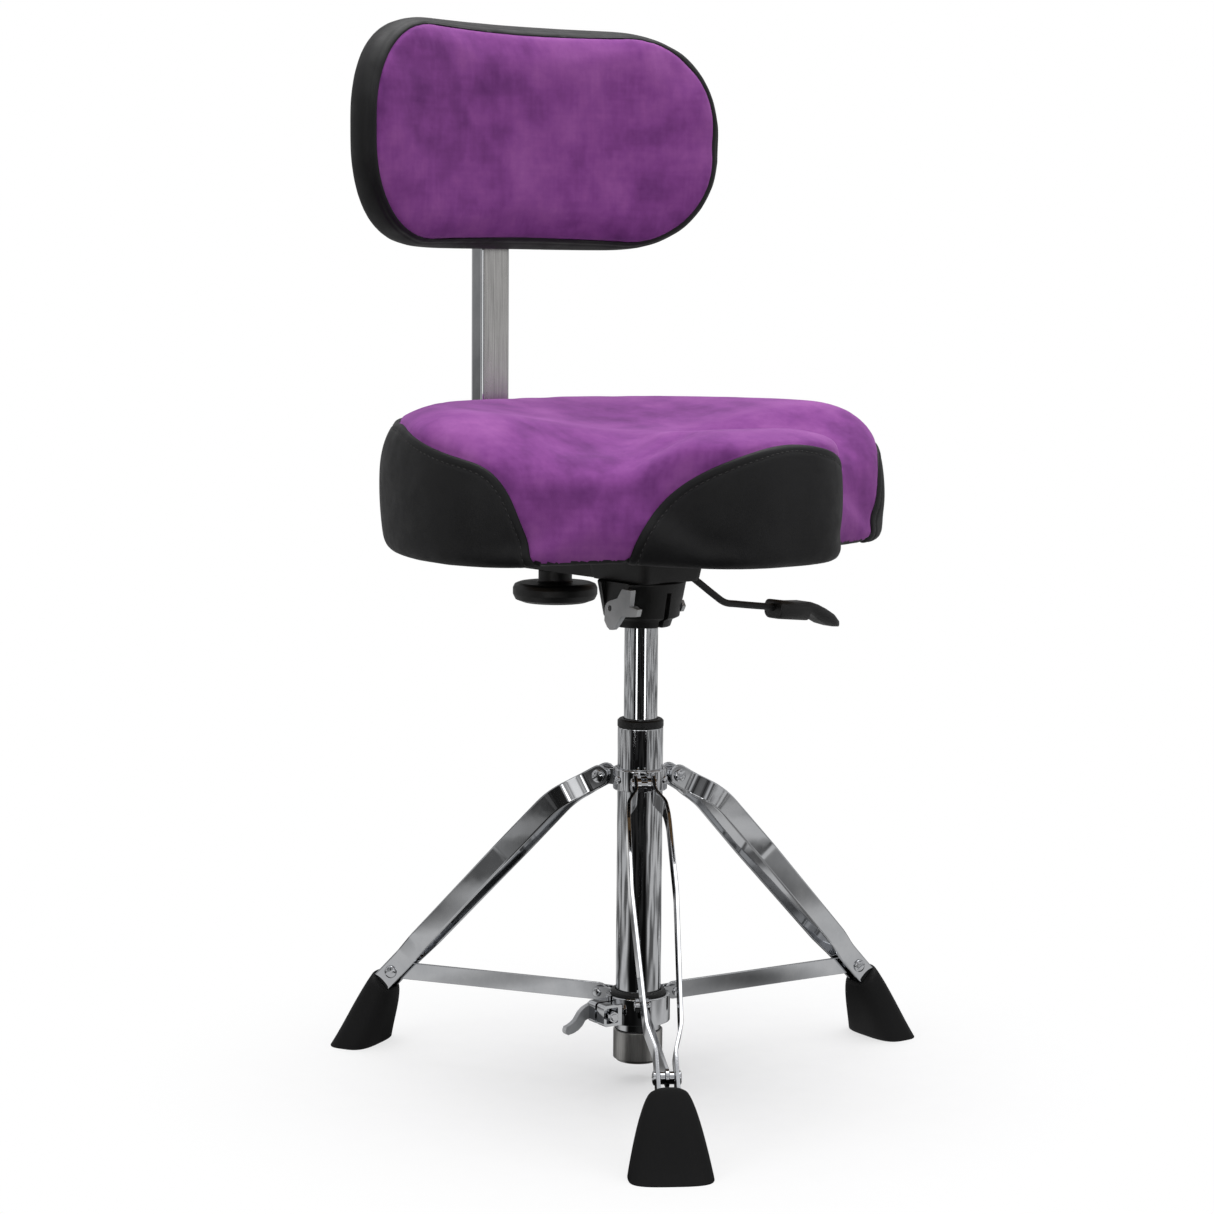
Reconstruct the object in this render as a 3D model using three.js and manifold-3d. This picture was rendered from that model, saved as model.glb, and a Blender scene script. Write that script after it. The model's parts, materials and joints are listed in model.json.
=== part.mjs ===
// Drum throne: saddle seat with a backrest on a gas-lift column and a folding tripod.
// Millimetres, +Z up, the sitter faces -Y. It is built round the column axis, then moved so
// that the origin is on the floor at the middle of its bounding box.

import * as THREE from 'three';
import { mergeVertices } from 'three/addons/utils/BufferGeometryUtils.js';
import Module from 'manifold-3d';

const wasm = await Module();
wasm.setup();

// ---------- fits ----------
const SNUG = 0.15; // gap between pieces that stay put against each other
const FREE = 0.4; // gap between pieces that move past each other

// ---------- column ----------
const COLUMN_R = 19;
const COLUMN_WALL = 1.5;
const CAP_R = 20.8;
const CAP_BOTTOM = 17.6;
const CAP_TOP = 45.5;
const CAP_FLOOR = 6;
const COLUMN_TOP = 302;
const BUSH_FLANGE = 7;
const BUSH_SLEEVE = 55;

// ---------- gas lift ----------
const CYLINDER_R = 14;
const CYLINDER_WALL = 1.6;
const CYLINDER_BOTTOM = 125;
const CYLINDER_TOP = 430;
const GLAND = 10; // thickness of the closed ends
const ROD_R = 5;
const ROD_BOTTOM = 20;
const PISTON_Z = 195;
const PISTON_LENGTH = 10;
const CLIP_R = 9;
const CLIP_LENGTH = 2;

// ---------- tripod ----------
const LEG_NAMES = ['front_leg', 'left_leg', 'rear_leg'];
const FRONT_LEG_AZIMUTH = -34.5; // degrees round from -Y towards +X
const HINGE_R = 34.6;
const HINGE_Z = 258.6;
const BEND_R = 73.5;
const BEND_Z = 236;
const BOLT_R = 234.4;
const BOLT_Z = 68.2;
const BAR_WIDTH = 18;
const BAR_THICK = 3;
const BAR_TAIL = 26; // how far the bars run past the foot bolt
const BAR_OFFSET_ENDS = 7.5; // middle of a bar from the leg's middle plane, at both ends
const BAR_OFFSET_TOP = 15;
const BAR_OFFSET_MIDDLE = 18;
const BAR_OFFSET_LOW = 13.5;
const LEG_PIN_R = 3.5;
const LEG_HEAD_R = 5.6;
const HEAD_HEIGHT = 2.4;

const UPPER_COLLAR_R = 22.5;
const UPPER_COLLAR_HEIGHT = 18;
const SET_SCREW_R = 3;

const EAR_THICK = 3;
const EAR_OFFSET = 4.1; // middle of an ear plate from the leg's middle plane

// ---------- lower collar and braces ----------
const LOWER_COLLAR_R = 27;
const LOWER_COLLAR_BOTTOM = 52;
const LOWER_COLLAR_TOP = 72;
const LOWER_BUSH_R = 23.2;
const LOWER_BUSH_TOP = 78.9;
const BRACE_PIVOT_R = 36;
const BRACE_PIVOT_Z = 72;
const BRACE_HEIGHT = 15;
const BRACE_THICK = 3;
const BRACE_PIN_R = 2.5;
const BRACE_BOSS_R = 5;
const BRACE_BOSS_HALF = 3.6; // clears the slit in the foot
const CLAMP_AZIMUTH = FRONT_LEG_AZIMUTH - 60; // half way between two legs
const CLAMP_STUD_R = 3;
const CLAMP_STUD_AT = 36; // distance of the stud from the column axis
const CLAMP_SPLIT = 3;
const CLAMP_LUG_SPREAD = 11; // outer face of each lug from the split
const CLAMP_LEVER_THICK = 5;

// ---------- feet ----------
const FOOT_R = 269.8;
const FOOT_BASE_RADIAL = 20;
const FOOT_BASE_ACROSS = 33;
const FOOT_TOP_RADIAL = 12.5;
const FOOT_TOP_ACROSS = 13.6;
const FOOT_TOP_PAST_BOLT = 14;
const FOOT_SQUARING = 2 / 3; // power that squares off the boot's round outline
const SOCKET_DEPTH = BAR_TAIL + 2;
const SLIT_HALF = 4;

// ---------- under the seat ----------
const HUB_TOP_R = 37;
const HUB_BOTTOM_R = 32;
const HUB_BOTTOM = 387;
const HUB_TOP = 425;
const HUB_SLOT = 5;
const HUB_STUD_Z = 404;
const HUB_STUD_Y = -21;
const HUB_STUD_R = 3;
const HUB_STUD_FROM = -34.5; // ends inside the cam lever
const HUB_STUD_TO = 26;
const HUB_STUD_HEAD = 3.5; // height of the stud's hexagon head
const HUB_FLAT_X = -30.6; // face the cam lever bears against
const CAM_THICK = 5;
const CAM_EYE_R = 2.4;
const CAM_EYE_BACK = 19; // how far behind the stud the cam lever's eye is
const HOUSING_RIGHT = -30;
const HOUSING_LEFT = 38; // the height lever's side
const HOUSING_Y = 78;
const HOUSING_TOP = 449;
const HOUSING_OPENING_R = 7; // where the height lever's rod comes out
const PLATE_THICK = 3;
const PLATE_X = 120;
const PLATE_FRONT = -70;
const PLATE_REAR = 150;
const PLATE_SCREW_X = 48;
const PLATE_SCREW_INSET = 12;
const PLATE_SCREW_R = 3;
const CHANNEL_X = 42;
const CHANNEL_WALL = 2.5;
const KNOB_Y = 116;
const KNOB_R = 36.5;
const KNOB_TOP = 413.5;
const KNOB_BOTTOM = 396;
const KNOB_NECK_R = 14.5;
const KNOB_STUD_R = 4;
const LEVER_ROD_R = 3;
const LEVER_START_X = CYLINDER_R + 0.5;
const LEVER_START_Z = 436;
const LEVER_BEND_X = 92;
const LEVER_BEND_Z = 400;
const GRIP_X = 148;
const GRIP_Z = 391; // height of the rod where it enters the grip
const GRIP_WIDTH = 24;

// ---------- seat ----------
const SEAT_BOTTOM = 453;
const SEAT_TOP = 560;
const SEAT_EDGE_ROUND = 34; // height of the rounding at the top edge
const SEAT_EDGE_INSET = 24; // how far the top edge draws in
const BOARD_THICK = 12;
const BOARD_INSET = 14;

// ---------- backrest ----------
const BAR_X = 30;
const BAR_DEPTH = 17;
const BAR_Y = 210;
const BAR_TOP = 850;
const BAR_BEND_R = 30;
const BAR_RUN_Z = 437.8;
const BAR_FRONT_END = 44;
const BACK_WIDTH = 380;
const BACK_HEIGHT = 190;
const BACK_CORNER = 84;
const BACK_Z = 793;
const BACK_FRONT = 146;
const BACK_REAR = BAR_Y - BAR_DEPTH / 2 - SNUG;
const BACK_CURVE_R = 500; // the face is hollow, bent to this radius round an upright axis
const BACK_THINNING = 20; // how much thinner the pad is at its ends
const BACK_EDGE_ROUND = 16;
const BACK_EDGE_INSET = 9;
const BACK_BOARD_THICK = 9;
const BACK_BOARD_INSET = 26;
const BACK_SCREW_SPREAD = 50;

const MATERIALS = {
  chrome: { color: 0xd8dade, roughness: 0.12, metalness: 1 },
  brushed_steel: { color: 0xb4b2ad, roughness: 0.4, metalness: 1 },
  zinc: { color: 0xb9bcc0, roughness: 0.3, metalness: 1 },
  black_steel: { color: 0x17171a, roughness: 0.45, metalness: 0.3 },
  black_plastic: { color: 0x161617, roughness: 0.5, metalness: 0 },
  black_rubber: { color: 0x141414, roughness: 0.85, metalness: 0 },
  plywood: { color: 0xb58a5a, roughness: 0.8, metalness: 0 },
  velvet: { color: 0x8a3f98, roughness: 0.9, metalness: 0 },
};

const degrees = THREE.MathUtils.degToRad;
const lerp = THREE.MathUtils.lerp;

// ---------- solids ----------

function toSolid(geometry) {
  const bare = geometry.clone();
  bare.deleteAttribute('normal');
  bare.deleteAttribute('uv');
  const welded = mergeVertices(bare, 1e-4);
  return new wasm.Manifold(new wasm.Mesh({
    numProp: 3,
    vertProperties: new Float32Array(welded.attributes.position.array),
    triVerts: new Uint32Array(welded.index.array),
  }));
}

function toGeometry(solid) {
  const mesh = solid.getMesh();
  const geometry = new THREE.BufferGeometry();
  geometry.setAttribute('position', new THREE.BufferAttribute(mesh.vertProperties, 3));
  geometry.setIndex(new THREE.BufferAttribute(mesh.triVerts, 1));
  geometry.computeVertexNormals();
  return geometry;
}

function join(...geometries) {
  return toGeometry(geometries.map(toSolid).reduce((sum, next) => sum.add(next)));
}

function cut(body, ...tools) {
  return toGeometry(tools.map(toSolid).reduce((rest, tool) => rest.subtract(tool), toSolid(body)));
}

// A round bar or disc between two heights on the Z axis.
function disc(radius, bottom, top, sides = 20, topRadius = radius) {
  const geometry = new THREE.CylinderGeometry(topRadius, radius, top - bottom, sides);
  geometry.rotateX(Math.PI / 2);
  return geometry.translate(0, 0, (bottom + top) / 2);
}

// A round bar along X or Y, from one end to the other.
function rodX(radius, from, to, y, z, sides = 12) {
  return disc(radius, from, to, sides).rotateY(Math.PI / 2).translate(0, y, z);
}

function rodY(radius, from, to, x, z, sides = 12) {
  return disc(radius, from, to, sides).rotateX(-Math.PI / 2).translate(x, 0, z);
}

function block(x0, x1, y0, y1, z0, z1) {
  const geometry = new THREE.BoxGeometry(x1 - x0, y1 - y0, z1 - z0);
  return geometry.translate((x0 + x1) / 2, (y0 + y1) / 2, (z0 + z1) / 2);
}

// A turned piece: points are [radius, height] pairs round a closed profile.
function turned(points, sides = 28) {
  const profile = [...points, points[0]].map(([r, z]) => new THREE.Vector2(r, z));
  return new THREE.LatheGeometry(profile, sides).rotateX(Math.PI / 2);
}

function tube(outer, inner, bottom, top, sides = 28) {
  return turned([[inner, bottom], [outer, bottom], [outer, top], [inner, top]], sides);
}

// A flat outline in the XY plane, given height along Z.
function slab(shape, bottom, top, curveSegments = 8) {
  const depth = top - bottom;
  const geometry = new THREE.ExtrudeGeometry(shape, { depth, bevelEnabled: false, curveSegments });
  return geometry.translate(0, 0, bottom);
}

// A side-view outline (u outwards, v up) given thickness across, centred on the XZ plane.
function sideSlab(shape, thickness, curveSegments = 8) {
  return slab(shape, -thickness / 2, thickness / 2, curveSegments).rotateX(Math.PI / 2);
}

function roundedRectangle(width, height, radius) {
  const x = width / 2;
  const y = height / 2;
  const shape = new THREE.Shape();
  shape.moveTo(x - radius, -y);
  shape.absarc(x - radius, radius - y, radius, -Math.PI / 2, 0);
  shape.absarc(x - radius, y - radius, radius, 0, Math.PI / 2);
  shape.absarc(radius - x, y - radius, radius, Math.PI / 2, Math.PI);
  shape.absarc(radius - x, radius - y, radius, Math.PI, Math.PI * 1.5);
  shape.closePath();
  return shape;
}

// A strip with half-round ends between two points.
function link(u0, v0, u1, v1, width) {
  const angle = Math.atan2(v1 - v0, u1 - u0);
  const r = width / 2;
  const shape = new THREE.Shape();
  shape.absarc(u1, v1, r, angle - Math.PI / 2, angle + Math.PI / 2);
  shape.absarc(u0, v0, r, angle + Math.PI / 2, angle + Math.PI * 1.5);
  shape.closePath();
  return shape;
}

// A skin over closed rings of equally many points. Each end is closed by a strip that joins the
// first half of its ring to the second half.
function loft(rings) {
  const count = rings[0].length;
  const last = (rings.length - 1) * count;
  const faces = [];
  for (let start = 0; start < last; start += count) {
    for (let i = 0; i < count; i += 1) {
      const here = start + i;
      const next = start + ((i + 1) % count);
      faces.push(here, next, next + count, here, next + count, here + count);
    }
  }
  for (let i = 0; i < count / 2 - 1; i += 1) {
    const across = count - 1 - i;
    faces.push(i, across - 1, i + 1, i, across, across - 1);
    faces.push(last + i, last + i + 1, last + across - 1, last + i, last + across - 1, last + across);
  }
  const geometry = new THREE.BufferGeometry();
  const places = new Float32Array(rings.flat(2));
  geometry.setAttribute('position', new THREE.BufferAttribute(places, 3));
  geometry.setIndex(faces);
  return geometry;
}

function mapVertices(geometry, place) {
  const position = geometry.attributes.position;
  for (let i = 0; i < position.count; i += 1) {
    const [x, y, z] = place(position.getX(i), position.getY(i), position.getZ(i));
    position.setXYZ(i, x, y, z);
  }
  geometry.computeVertexNormals();
  return geometry;
}

// ---------- building the tree ----------

const throne = new THREE.Group();
throne.name = 'drum_throne';

function group(name, azimuth = null) {
  const holder = new THREE.Group();
  holder.name = name;
  if (azimuth !== null) {
    holder.rotation.z = degrees(azimuth - 90); // its +X then points out along that azimuth
  }
  throne.add(holder);
  return holder;
}

function piece(parent, name, geometry, material) {
  const mesh = new THREE.Mesh(geometry, new THREE.MeshStandardMaterial(MATERIALS[material]));
  mesh.name = name;
  parent.add(mesh);
}

// ---------- column and gas lift ----------

function buildColumn() {
  const column = group('column');
  const bore = COLUMN_R - COLUMN_WALL;
  const capFloorTop = CAP_BOTTOM + CAP_FLOOR;
  piece(column, 'column_tube', tube(COLUMN_R, bore, capFloorTop + SNUG, COLUMN_TOP), 'chrome');

  const endCap = turned([
    [ROD_R + FREE, CAP_BOTTOM],
    [CAP_R - 1, CAP_BOTTOM],
    [CAP_R, CAP_BOTTOM + 1],
    [CAP_R, CAP_TOP],
    [COLUMN_R + SNUG, CAP_TOP],
    [COLUMN_R + SNUG, capFloorTop],
    [ROD_R + FREE, capFloorTop],
  ]);
  piece(column, 'column_end_cap', endCap, 'brushed_steel');

  const flangeBottom = COLUMN_TOP + SNUG;
  const topBush = turned([
    [CYLINDER_R + FREE, flangeBottom - BUSH_SLEEVE],
    [bore - SNUG, flangeBottom - BUSH_SLEEVE],
    [bore - SNUG, flangeBottom],
    [COLUMN_R + 0.3, flangeBottom],
    [COLUMN_R + 0.3, flangeBottom + BUSH_FLANGE - 1.5],
    [COLUMN_R - 1.2, flangeBottom + BUSH_FLANGE],
    [CYLINDER_R + FREE, flangeBottom + BUSH_FLANGE],
  ]);
  piece(column, 'column_top_bush', topBush, 'black_plastic');
}

function buildGasLift() {
  const lift = group('gas_lift');
  const rod = turned([
    [0, ROD_BOTTOM],
    [ROD_R, ROD_BOTTOM],
    [ROD_R, PISTON_Z],
    [CYLINDER_R - CYLINDER_WALL - FREE, PISTON_Z],
    [CYLINDER_R - CYLINDER_WALL - FREE, PISTON_Z + PISTON_LENGTH],
    [0, PISTON_Z + PISTON_LENGTH],
  ], 24);
  piece(lift, 'gas_lift_rod', rod, 'chrome');

  const clipBottom = CAP_BOTTOM + CAP_FLOOR + FREE;
  const clip = tube(CLIP_R, ROD_R + SNUG, clipBottom, clipBottom + CLIP_LENGTH, 24);
  piece(lift, 'gas_lift_clip', clip, 'brushed_steel');

  const bore = CYLINDER_R - CYLINDER_WALL;
  const cylinder = turned([
    [ROD_R + FREE, CYLINDER_BOTTOM],
    [CYLINDER_R, CYLINDER_BOTTOM],
    [CYLINDER_R, CYLINDER_TOP],
    [0, CYLINDER_TOP],
    [0, CYLINDER_TOP - GLAND],
    [bore, CYLINDER_TOP - GLAND],
    [bore, CYLINDER_BOTTOM + GLAND],
    [ROD_R + FREE, CYLINDER_BOTTOM + GLAND],
  ], 24);
  piece(lift, 'gas_lift_cylinder', cylinder, 'chrome');
}

// ---------- collars ----------

// A pair of ear plates for one leg or brace, reaching out from a collar to a cross pin.
function earPair(rootR, pinR, pinZ, height, pinHoleR) {
  const plate = link(rootR, pinZ, pinR, pinZ, height);
  const plates = [-EAR_OFFSET, EAR_OFFSET].map((across) => {
    const hole = rodY(pinHoleR, across - EAR_THICK, across + EAR_THICK, pinR, pinZ);
    return cut(sideSlab(plate, EAR_THICK, 2).translate(0, across, 0), hole);
  });
  return plates;
}

function turnToAzimuth(geometry, azimuth) {
  return geometry.rotateZ(degrees(azimuth - 90));
}

function legAzimuth(index) {
  return FRONT_LEG_AZIMUTH + index * 120;
}

function buildUpperCollar() {
  const collar = group('upper_collar_group');
  const bottom = HINGE_Z - UPPER_COLLAR_HEIGHT / 2;
  const top = bottom + UPPER_COLLAR_HEIGHT;
  const ring = tube(UPPER_COLLAR_R, COLUMN_R + SNUG, bottom, top);
  const ears = LEG_NAMES.flatMap((_, index) => {
    const plates = earPair(UPPER_COLLAR_R + 4, HINGE_R, HINGE_Z, 13, LEG_PIN_R + SNUG);
    return plates.map((plate) => turnToAzimuth(plate, legAzimuth(index)));
  });
  const bore = disc(COLUMN_R + SNUG, bottom - 1, top + 1, 28);
  const screwHoles = LEG_NAMES.map((_, index) => {
    const hole = rodX(SET_SCREW_R + SNUG, COLUMN_R - 2, UPPER_COLLAR_R + 8, 0, HINGE_Z);
    return turnToAzimuth(hole, legAzimuth(index) + 60);
  });
  piece(collar, 'upper_collar', cut(join(ring, ...ears), bore, ...screwHoles), 'chrome');

  LEG_NAMES.forEach((leg, index) => {
    const screw = rodX(SET_SCREW_R, COLUMN_R + 0.4, UPPER_COLLAR_R + 2.2, 0, HINGE_Z, 12);
    const name = `upper_collar_screw_${index + 1}`;
    piece(collar, name, turnToAzimuth(screw, legAzimuth(index) + 60), 'chrome');
  });
}

function buildLowerCollar() {
  const collar = group('lower_collar_group');
  const bore = LOWER_BUSH_R + SNUG;
  const bush = turned([
    [COLUMN_R + FREE, LOWER_COLLAR_BOTTOM],
    [LOWER_BUSH_R, LOWER_COLLAR_BOTTOM],
    [LOWER_BUSH_R, LOWER_BUSH_TOP - 1],
    [LOWER_BUSH_R - 1, LOWER_BUSH_TOP],
    [COLUMN_R + FREE, LOWER_BUSH_TOP],
  ]);
  piece(collar, 'lower_collar_bush', bush, 'black_plastic');

  const ring = tube(LOWER_COLLAR_R, bore, LOWER_COLLAR_BOTTOM, LOWER_COLLAR_TOP + 5);
  const ears = LEG_NAMES.flatMap((_, index) => {
    const holeR = BRACE_PIN_R + SNUG;
    const plates = earPair(LOWER_COLLAR_R, BRACE_PIVOT_R, BRACE_PIVOT_Z, 10, holeR);
    return plates.map((plate) => turnToAzimuth(plate, legAzimuth(index)));
  });
  const half = CLAMP_SPLIT / 2;
  const lugEnd = CLAMP_STUD_AT + 6;
  const lugSides = [[-half - CLAMP_LUG_SPREAD, -half], [half, half + CLAMP_LUG_SPREAD]];
  const lugs = lugSides.map(([from, to]) => {
    const lug = block(bore + 1, lugEnd, from, to, LOWER_COLLAR_BOTTOM + 1, LOWER_COLLAR_TOP - 1);
    return turnToAzimuth(lug, CLAMP_AZIMUTH);
  });
  const split = block(COLUMN_R, lugEnd + 5, -half, half, LOWER_COLLAR_BOTTOM - 1, LOWER_BUSH_TOP);
  const studZ = (LOWER_COLLAR_BOTTOM + LOWER_COLLAR_TOP) / 2;
  const studHole = rodY(CLAMP_STUD_R + FREE, -40, 40, CLAMP_STUD_AT, studZ);
  const inside = disc(bore, LOWER_COLLAR_BOTTOM - 1, LOWER_BUSH_TOP, 28);
  const band = cut(
    join(ring, ...ears, ...lugs),
    inside,
    turnToAzimuth(split, CLAMP_AZIMUTH),
    turnToAzimuth(studHole, CLAMP_AZIMUTH),
  );
  piece(collar, 'lower_collar_band', band, 'chrome');

  buildClamp(studZ);
}

// The quick-release clamp: a stud through both lugs and a lever with an S-shaped tail.
function buildClamp(studZ) {
  const clamp = group('clamp_group', CLAMP_AZIMUTH);
  const lugFace = CLAMP_SPLIT / 2 + CLAMP_LUG_SPREAD;
  const nutStart = lugFace + SNUG;
  const stud = join(
    rodY(CLAMP_STUD_R, -lugFace - 8, nutStart + 5, CLAMP_STUD_AT, studZ),
    rodY(5, nutStart, nutStart + 4, CLAMP_STUD_AT, studZ, 6),
  );
  piece(clamp, 'clamp_stud', stud, 'chrome');

  const tail = new THREE.Shape(); // x is out from the stud, y is up from it
  tail.moveTo(0, 6);
  tail.quadraticCurveTo(12, 5, 17, -4);
  tail.quadraticCurveTo(20, -9, 28, -11);
  tail.quadraticCurveTo(31, -16, 26, -18);
  tail.quadraticCurveTo(14, -17, 9, -8);
  tail.quadraticCurveTo(5, -6, 0, -6);
  tail.closePath();
  const nearFace = -lugFace - FREE;
  const farFace = nearFace - CLAMP_LEVER_THICK;
  const tailPlate = sideSlab(tail, CLAMP_LEVER_THICK, 4);
  tailPlate.translate(CLAMP_STUD_AT, (nearFace + farFace) / 2, studZ);
  const lever = cut(
    join(tailPlate, rodY(7, farFace, nearFace, CLAMP_STUD_AT, studZ, 16)),
    rodY(CLAMP_STUD_R + FREE, -40, 40, CLAMP_STUD_AT, studZ),
  );
  piece(clamp, 'clamp_lever', lever, 'zinc');
}

// ---------- legs ----------

// The middle line of a bar in the leg's side view, as distance along it.
const UPPER_RUN = Math.hypot(BEND_R - HINGE_R, BEND_Z - HINGE_Z);
const LOWER_RUN = Math.hypot(BOLT_R - BEND_R, BOLT_Z - BEND_Z);
const UPPER_SLOPE = Math.atan2(BEND_Z - HINGE_Z, BEND_R - HINGE_R);
const LOWER_SLOPE = Math.atan2(BOLT_Z - BEND_Z, BOLT_R - BEND_R);
const BEND_BLEND = 12; // the bend is spread over this length either side

function legPoint(along) {
  const turn = THREE.MathUtils.clamp((along - UPPER_RUN + BEND_BLEND) / (2 * BEND_BLEND), 0, 1);
  const slope = lerp(UPPER_SLOPE, LOWER_SLOPE, turn);
  let u;
  let v;
  if (along <= UPPER_RUN) {
    u = HINGE_R + along * Math.cos(UPPER_SLOPE);
    v = HINGE_Z + along * Math.sin(UPPER_SLOPE);
  } else {
    u = BEND_R + (along - UPPER_RUN) * Math.cos(LOWER_SLOPE);
    v = BEND_Z + (along - UPPER_RUN) * Math.sin(LOWER_SLOPE);
  }
  return { u, v, slope };
}

// One flat bar of a leg: straight at both ends, joggled outwards in between.
function legBar(side) {
  const end = UPPER_RUN + LOWER_RUN;
  const stations = [
    [-BAR_WIDTH / 2, BAR_OFFSET_ENDS],
    [14, BAR_OFFSET_ENDS],
    [30, BAR_OFFSET_TOP],
    [UPPER_RUN, lerp(BAR_OFFSET_TOP, BAR_OFFSET_MIDDLE, 0.4)],
    [UPPER_RUN + BEND_BLEND, lerp(BAR_OFFSET_TOP, BAR_OFFSET_MIDDLE, 0.6)],
    [115, BAR_OFFSET_MIDDLE],
    [end - 42, BAR_OFFSET_LOW],
    [end - 20, BAR_OFFSET_ENDS],
    [end + BAR_TAIL, BAR_OFFSET_ENDS],
  ];
  const inner = stations.map(([s, offset]) => new THREE.Vector2(s, side * (offset - BAR_THICK / 2)));
  const outer = stations.map(([s, offset]) => new THREE.Vector2(s, side * (offset + BAR_THICK / 2)));
  const strip = slab(new THREE.Shape([...inner, ...outer.reverse()]), -BAR_WIDTH / 2, BAR_WIDTH / 2);
  const bar = mapVertices(strip, (along, across, off) => {
    const { u, v, slope } = legPoint(along);
    return [u - off * Math.sin(slope), across, v + off * Math.cos(slope)];
  });
  const from = side * (BAR_OFFSET_ENDS - BAR_THICK);
  const to = side * (BAR_OFFSET_ENDS + BAR_THICK);
  const [low, high] = from < to ? [from, to] : [to, from];
  return cut(
    bar,
    rodY(LEG_PIN_R + FREE, low, high, HINGE_R, HINGE_Z),
    rodY(LEG_PIN_R + SNUG, low, high, BOLT_R, BOLT_Z),
  );
}

// A dome-headed pin end that sits on the outer face of a bar.
function pinHead(u, v, side) {
  const face = BAR_OFFSET_ENDS + BAR_THICK / 2 + SNUG;
  const head = disc(LEG_HEAD_R, 0, HEAD_HEIGHT, 12, LEG_HEAD_R - 1.6);
  return head.rotateX(-side * Math.PI / 2).translate(u, side * face, v);
}

function hingePin() {
  const face = BAR_OFFSET_ENDS + BAR_THICK / 2 + SNUG;
  return join(
    rodY(LEG_PIN_R, -face - 0.5, face + 0.5, HINGE_R, HINGE_Z),
    pinHead(HINGE_R, HINGE_Z, -1),
    pinHead(HINGE_R, HINGE_Z, 1),
  );
}

// Each side's half of the foot bolt stays in its own bar; the brace's boss sits between them.
function footBoltHalf(side) {
  const inner = side * (BAR_OFFSET_ENDS - BAR_THICK / 2);
  const outer = side * (BAR_OFFSET_ENDS + BAR_THICK / 2 + SNUG + 0.5);
  const [low, high] = inner < outer ? [inner, outer] : [outer, inner];
  return join(
    rodY(LEG_PIN_R, low, high, BOLT_R, BOLT_Z),
    pinHead(BOLT_R, BOLT_Z, side),
  );
}

// The rubber boot: a wide, squarish sole leaning and narrowing up to a collar square to the leg.
function footShell() {
  const topU = BOLT_R + FOOT_TOP_PAST_BOLT * Math.cos(LOWER_SLOPE);
  const topV = BOLT_Z + FOOT_TOP_PAST_BOLT * Math.sin(LOWER_SLOPE);
  const collarTilt = Math.PI / 2 + LOWER_SLOPE;
  const squared = (value) => Math.sign(value) * Math.abs(value) ** FOOT_SQUARING;
  const drum = new THREE.CylinderGeometry(1, 1, 1, 16, 3).rotateX(Math.PI / 2);
  return mapVertices(drum, (x, y, z) => {
    const t = z + 0.5; // 0 at the sole, 1 at the collar
    const reach = squared(x) * lerp(FOOT_BASE_RADIAL, FOOT_TOP_RADIAL, t ** 0.8);
    const across = squared(y) * lerp(FOOT_TOP_ACROSS, FOOT_BASE_ACROSS, (1 - t) ** 0.6);
    const tilt = collarTilt * t * t;
    const u = lerp(FOOT_R, topU, t) + reach * Math.cos(tilt);
    const v = topV * t + reach * Math.sin(tilt);
    return [u, across, v];
  });
}

function foot() {
  // The socket the two bars drop into, open right across between them.
  const wide = BAR_OFFSET_ENDS + BAR_THICK / 2 + SNUG;
  const half = BAR_WIDTH / 2 + SNUG;
  const socket = block(0, SOCKET_DEPTH, -wide, wide, -half, half);
  // The slit that lets the end of the brace swing out between the bars.
  const slit = block(FOOT_TOP_PAST_BOLT - 6, SOCKET_DEPTH + 14, -SLIT_HALF, SLIT_HALF, 0, 40);
  for (const tool of [socket, slit]) {
    tool.rotateY(-LOWER_SLOPE).translate(BOLT_R, 0, BOLT_Z);
  }
  return cut(footShell(), socket, slit);
}

function brace() {
  const strip = sideSlab(
    link(BRACE_PIVOT_R, BRACE_PIVOT_Z, BOLT_R, BOLT_Z, BRACE_HEIGHT),
    BRACE_THICK,
    6,
  );
  const boss = rodY(BRACE_BOSS_R, -BRACE_BOSS_HALF, BRACE_BOSS_HALF, BOLT_R, BOLT_Z);
  return cut(join(strip, boss), rodY(BRACE_PIN_R + FREE, -9, 9, BRACE_PIVOT_R, BRACE_PIVOT_Z));
}

function braceRivet() {
  const face = EAR_OFFSET + EAR_THICK / 2 + SNUG;
  return join(
    rodY(BRACE_PIN_R, -face - 0.5, face + 0.5, BRACE_PIVOT_R, BRACE_PIVOT_Z),
    rodY(4, face, face + 1.6, BRACE_PIVOT_R, BRACE_PIVOT_Z),
    rodY(4, -face - 1.6, -face, BRACE_PIVOT_R, BRACE_PIVOT_Z),
  );
}

function buildLegs() {
  LEG_NAMES.forEach((leg, index) => {
    const holder = group(`${leg}_group`, legAzimuth(index));
    piece(holder, `${leg}_bar_right`, legBar(-1), 'chrome');
    piece(holder, `${leg}_bar_left`, legBar(1), 'chrome');
    piece(holder, `${leg}_hinge_pin`, hingePin(), 'chrome');
    piece(holder, `${leg}_foot_bolt`, footBoltHalf(-1), 'chrome');
    piece(holder, `${leg}_foot_nut`, footBoltHalf(1), 'chrome');
    piece(holder, `${leg}_foot`, foot(), 'black_rubber');
    piece(holder, `${leg}_brace`, brace(), 'chrome');
    piece(holder, `${leg}_brace_rivet`, braceRivet(), 'chrome');
  });
}

// ---------- hub, release gear and seat plate ----------

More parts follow.
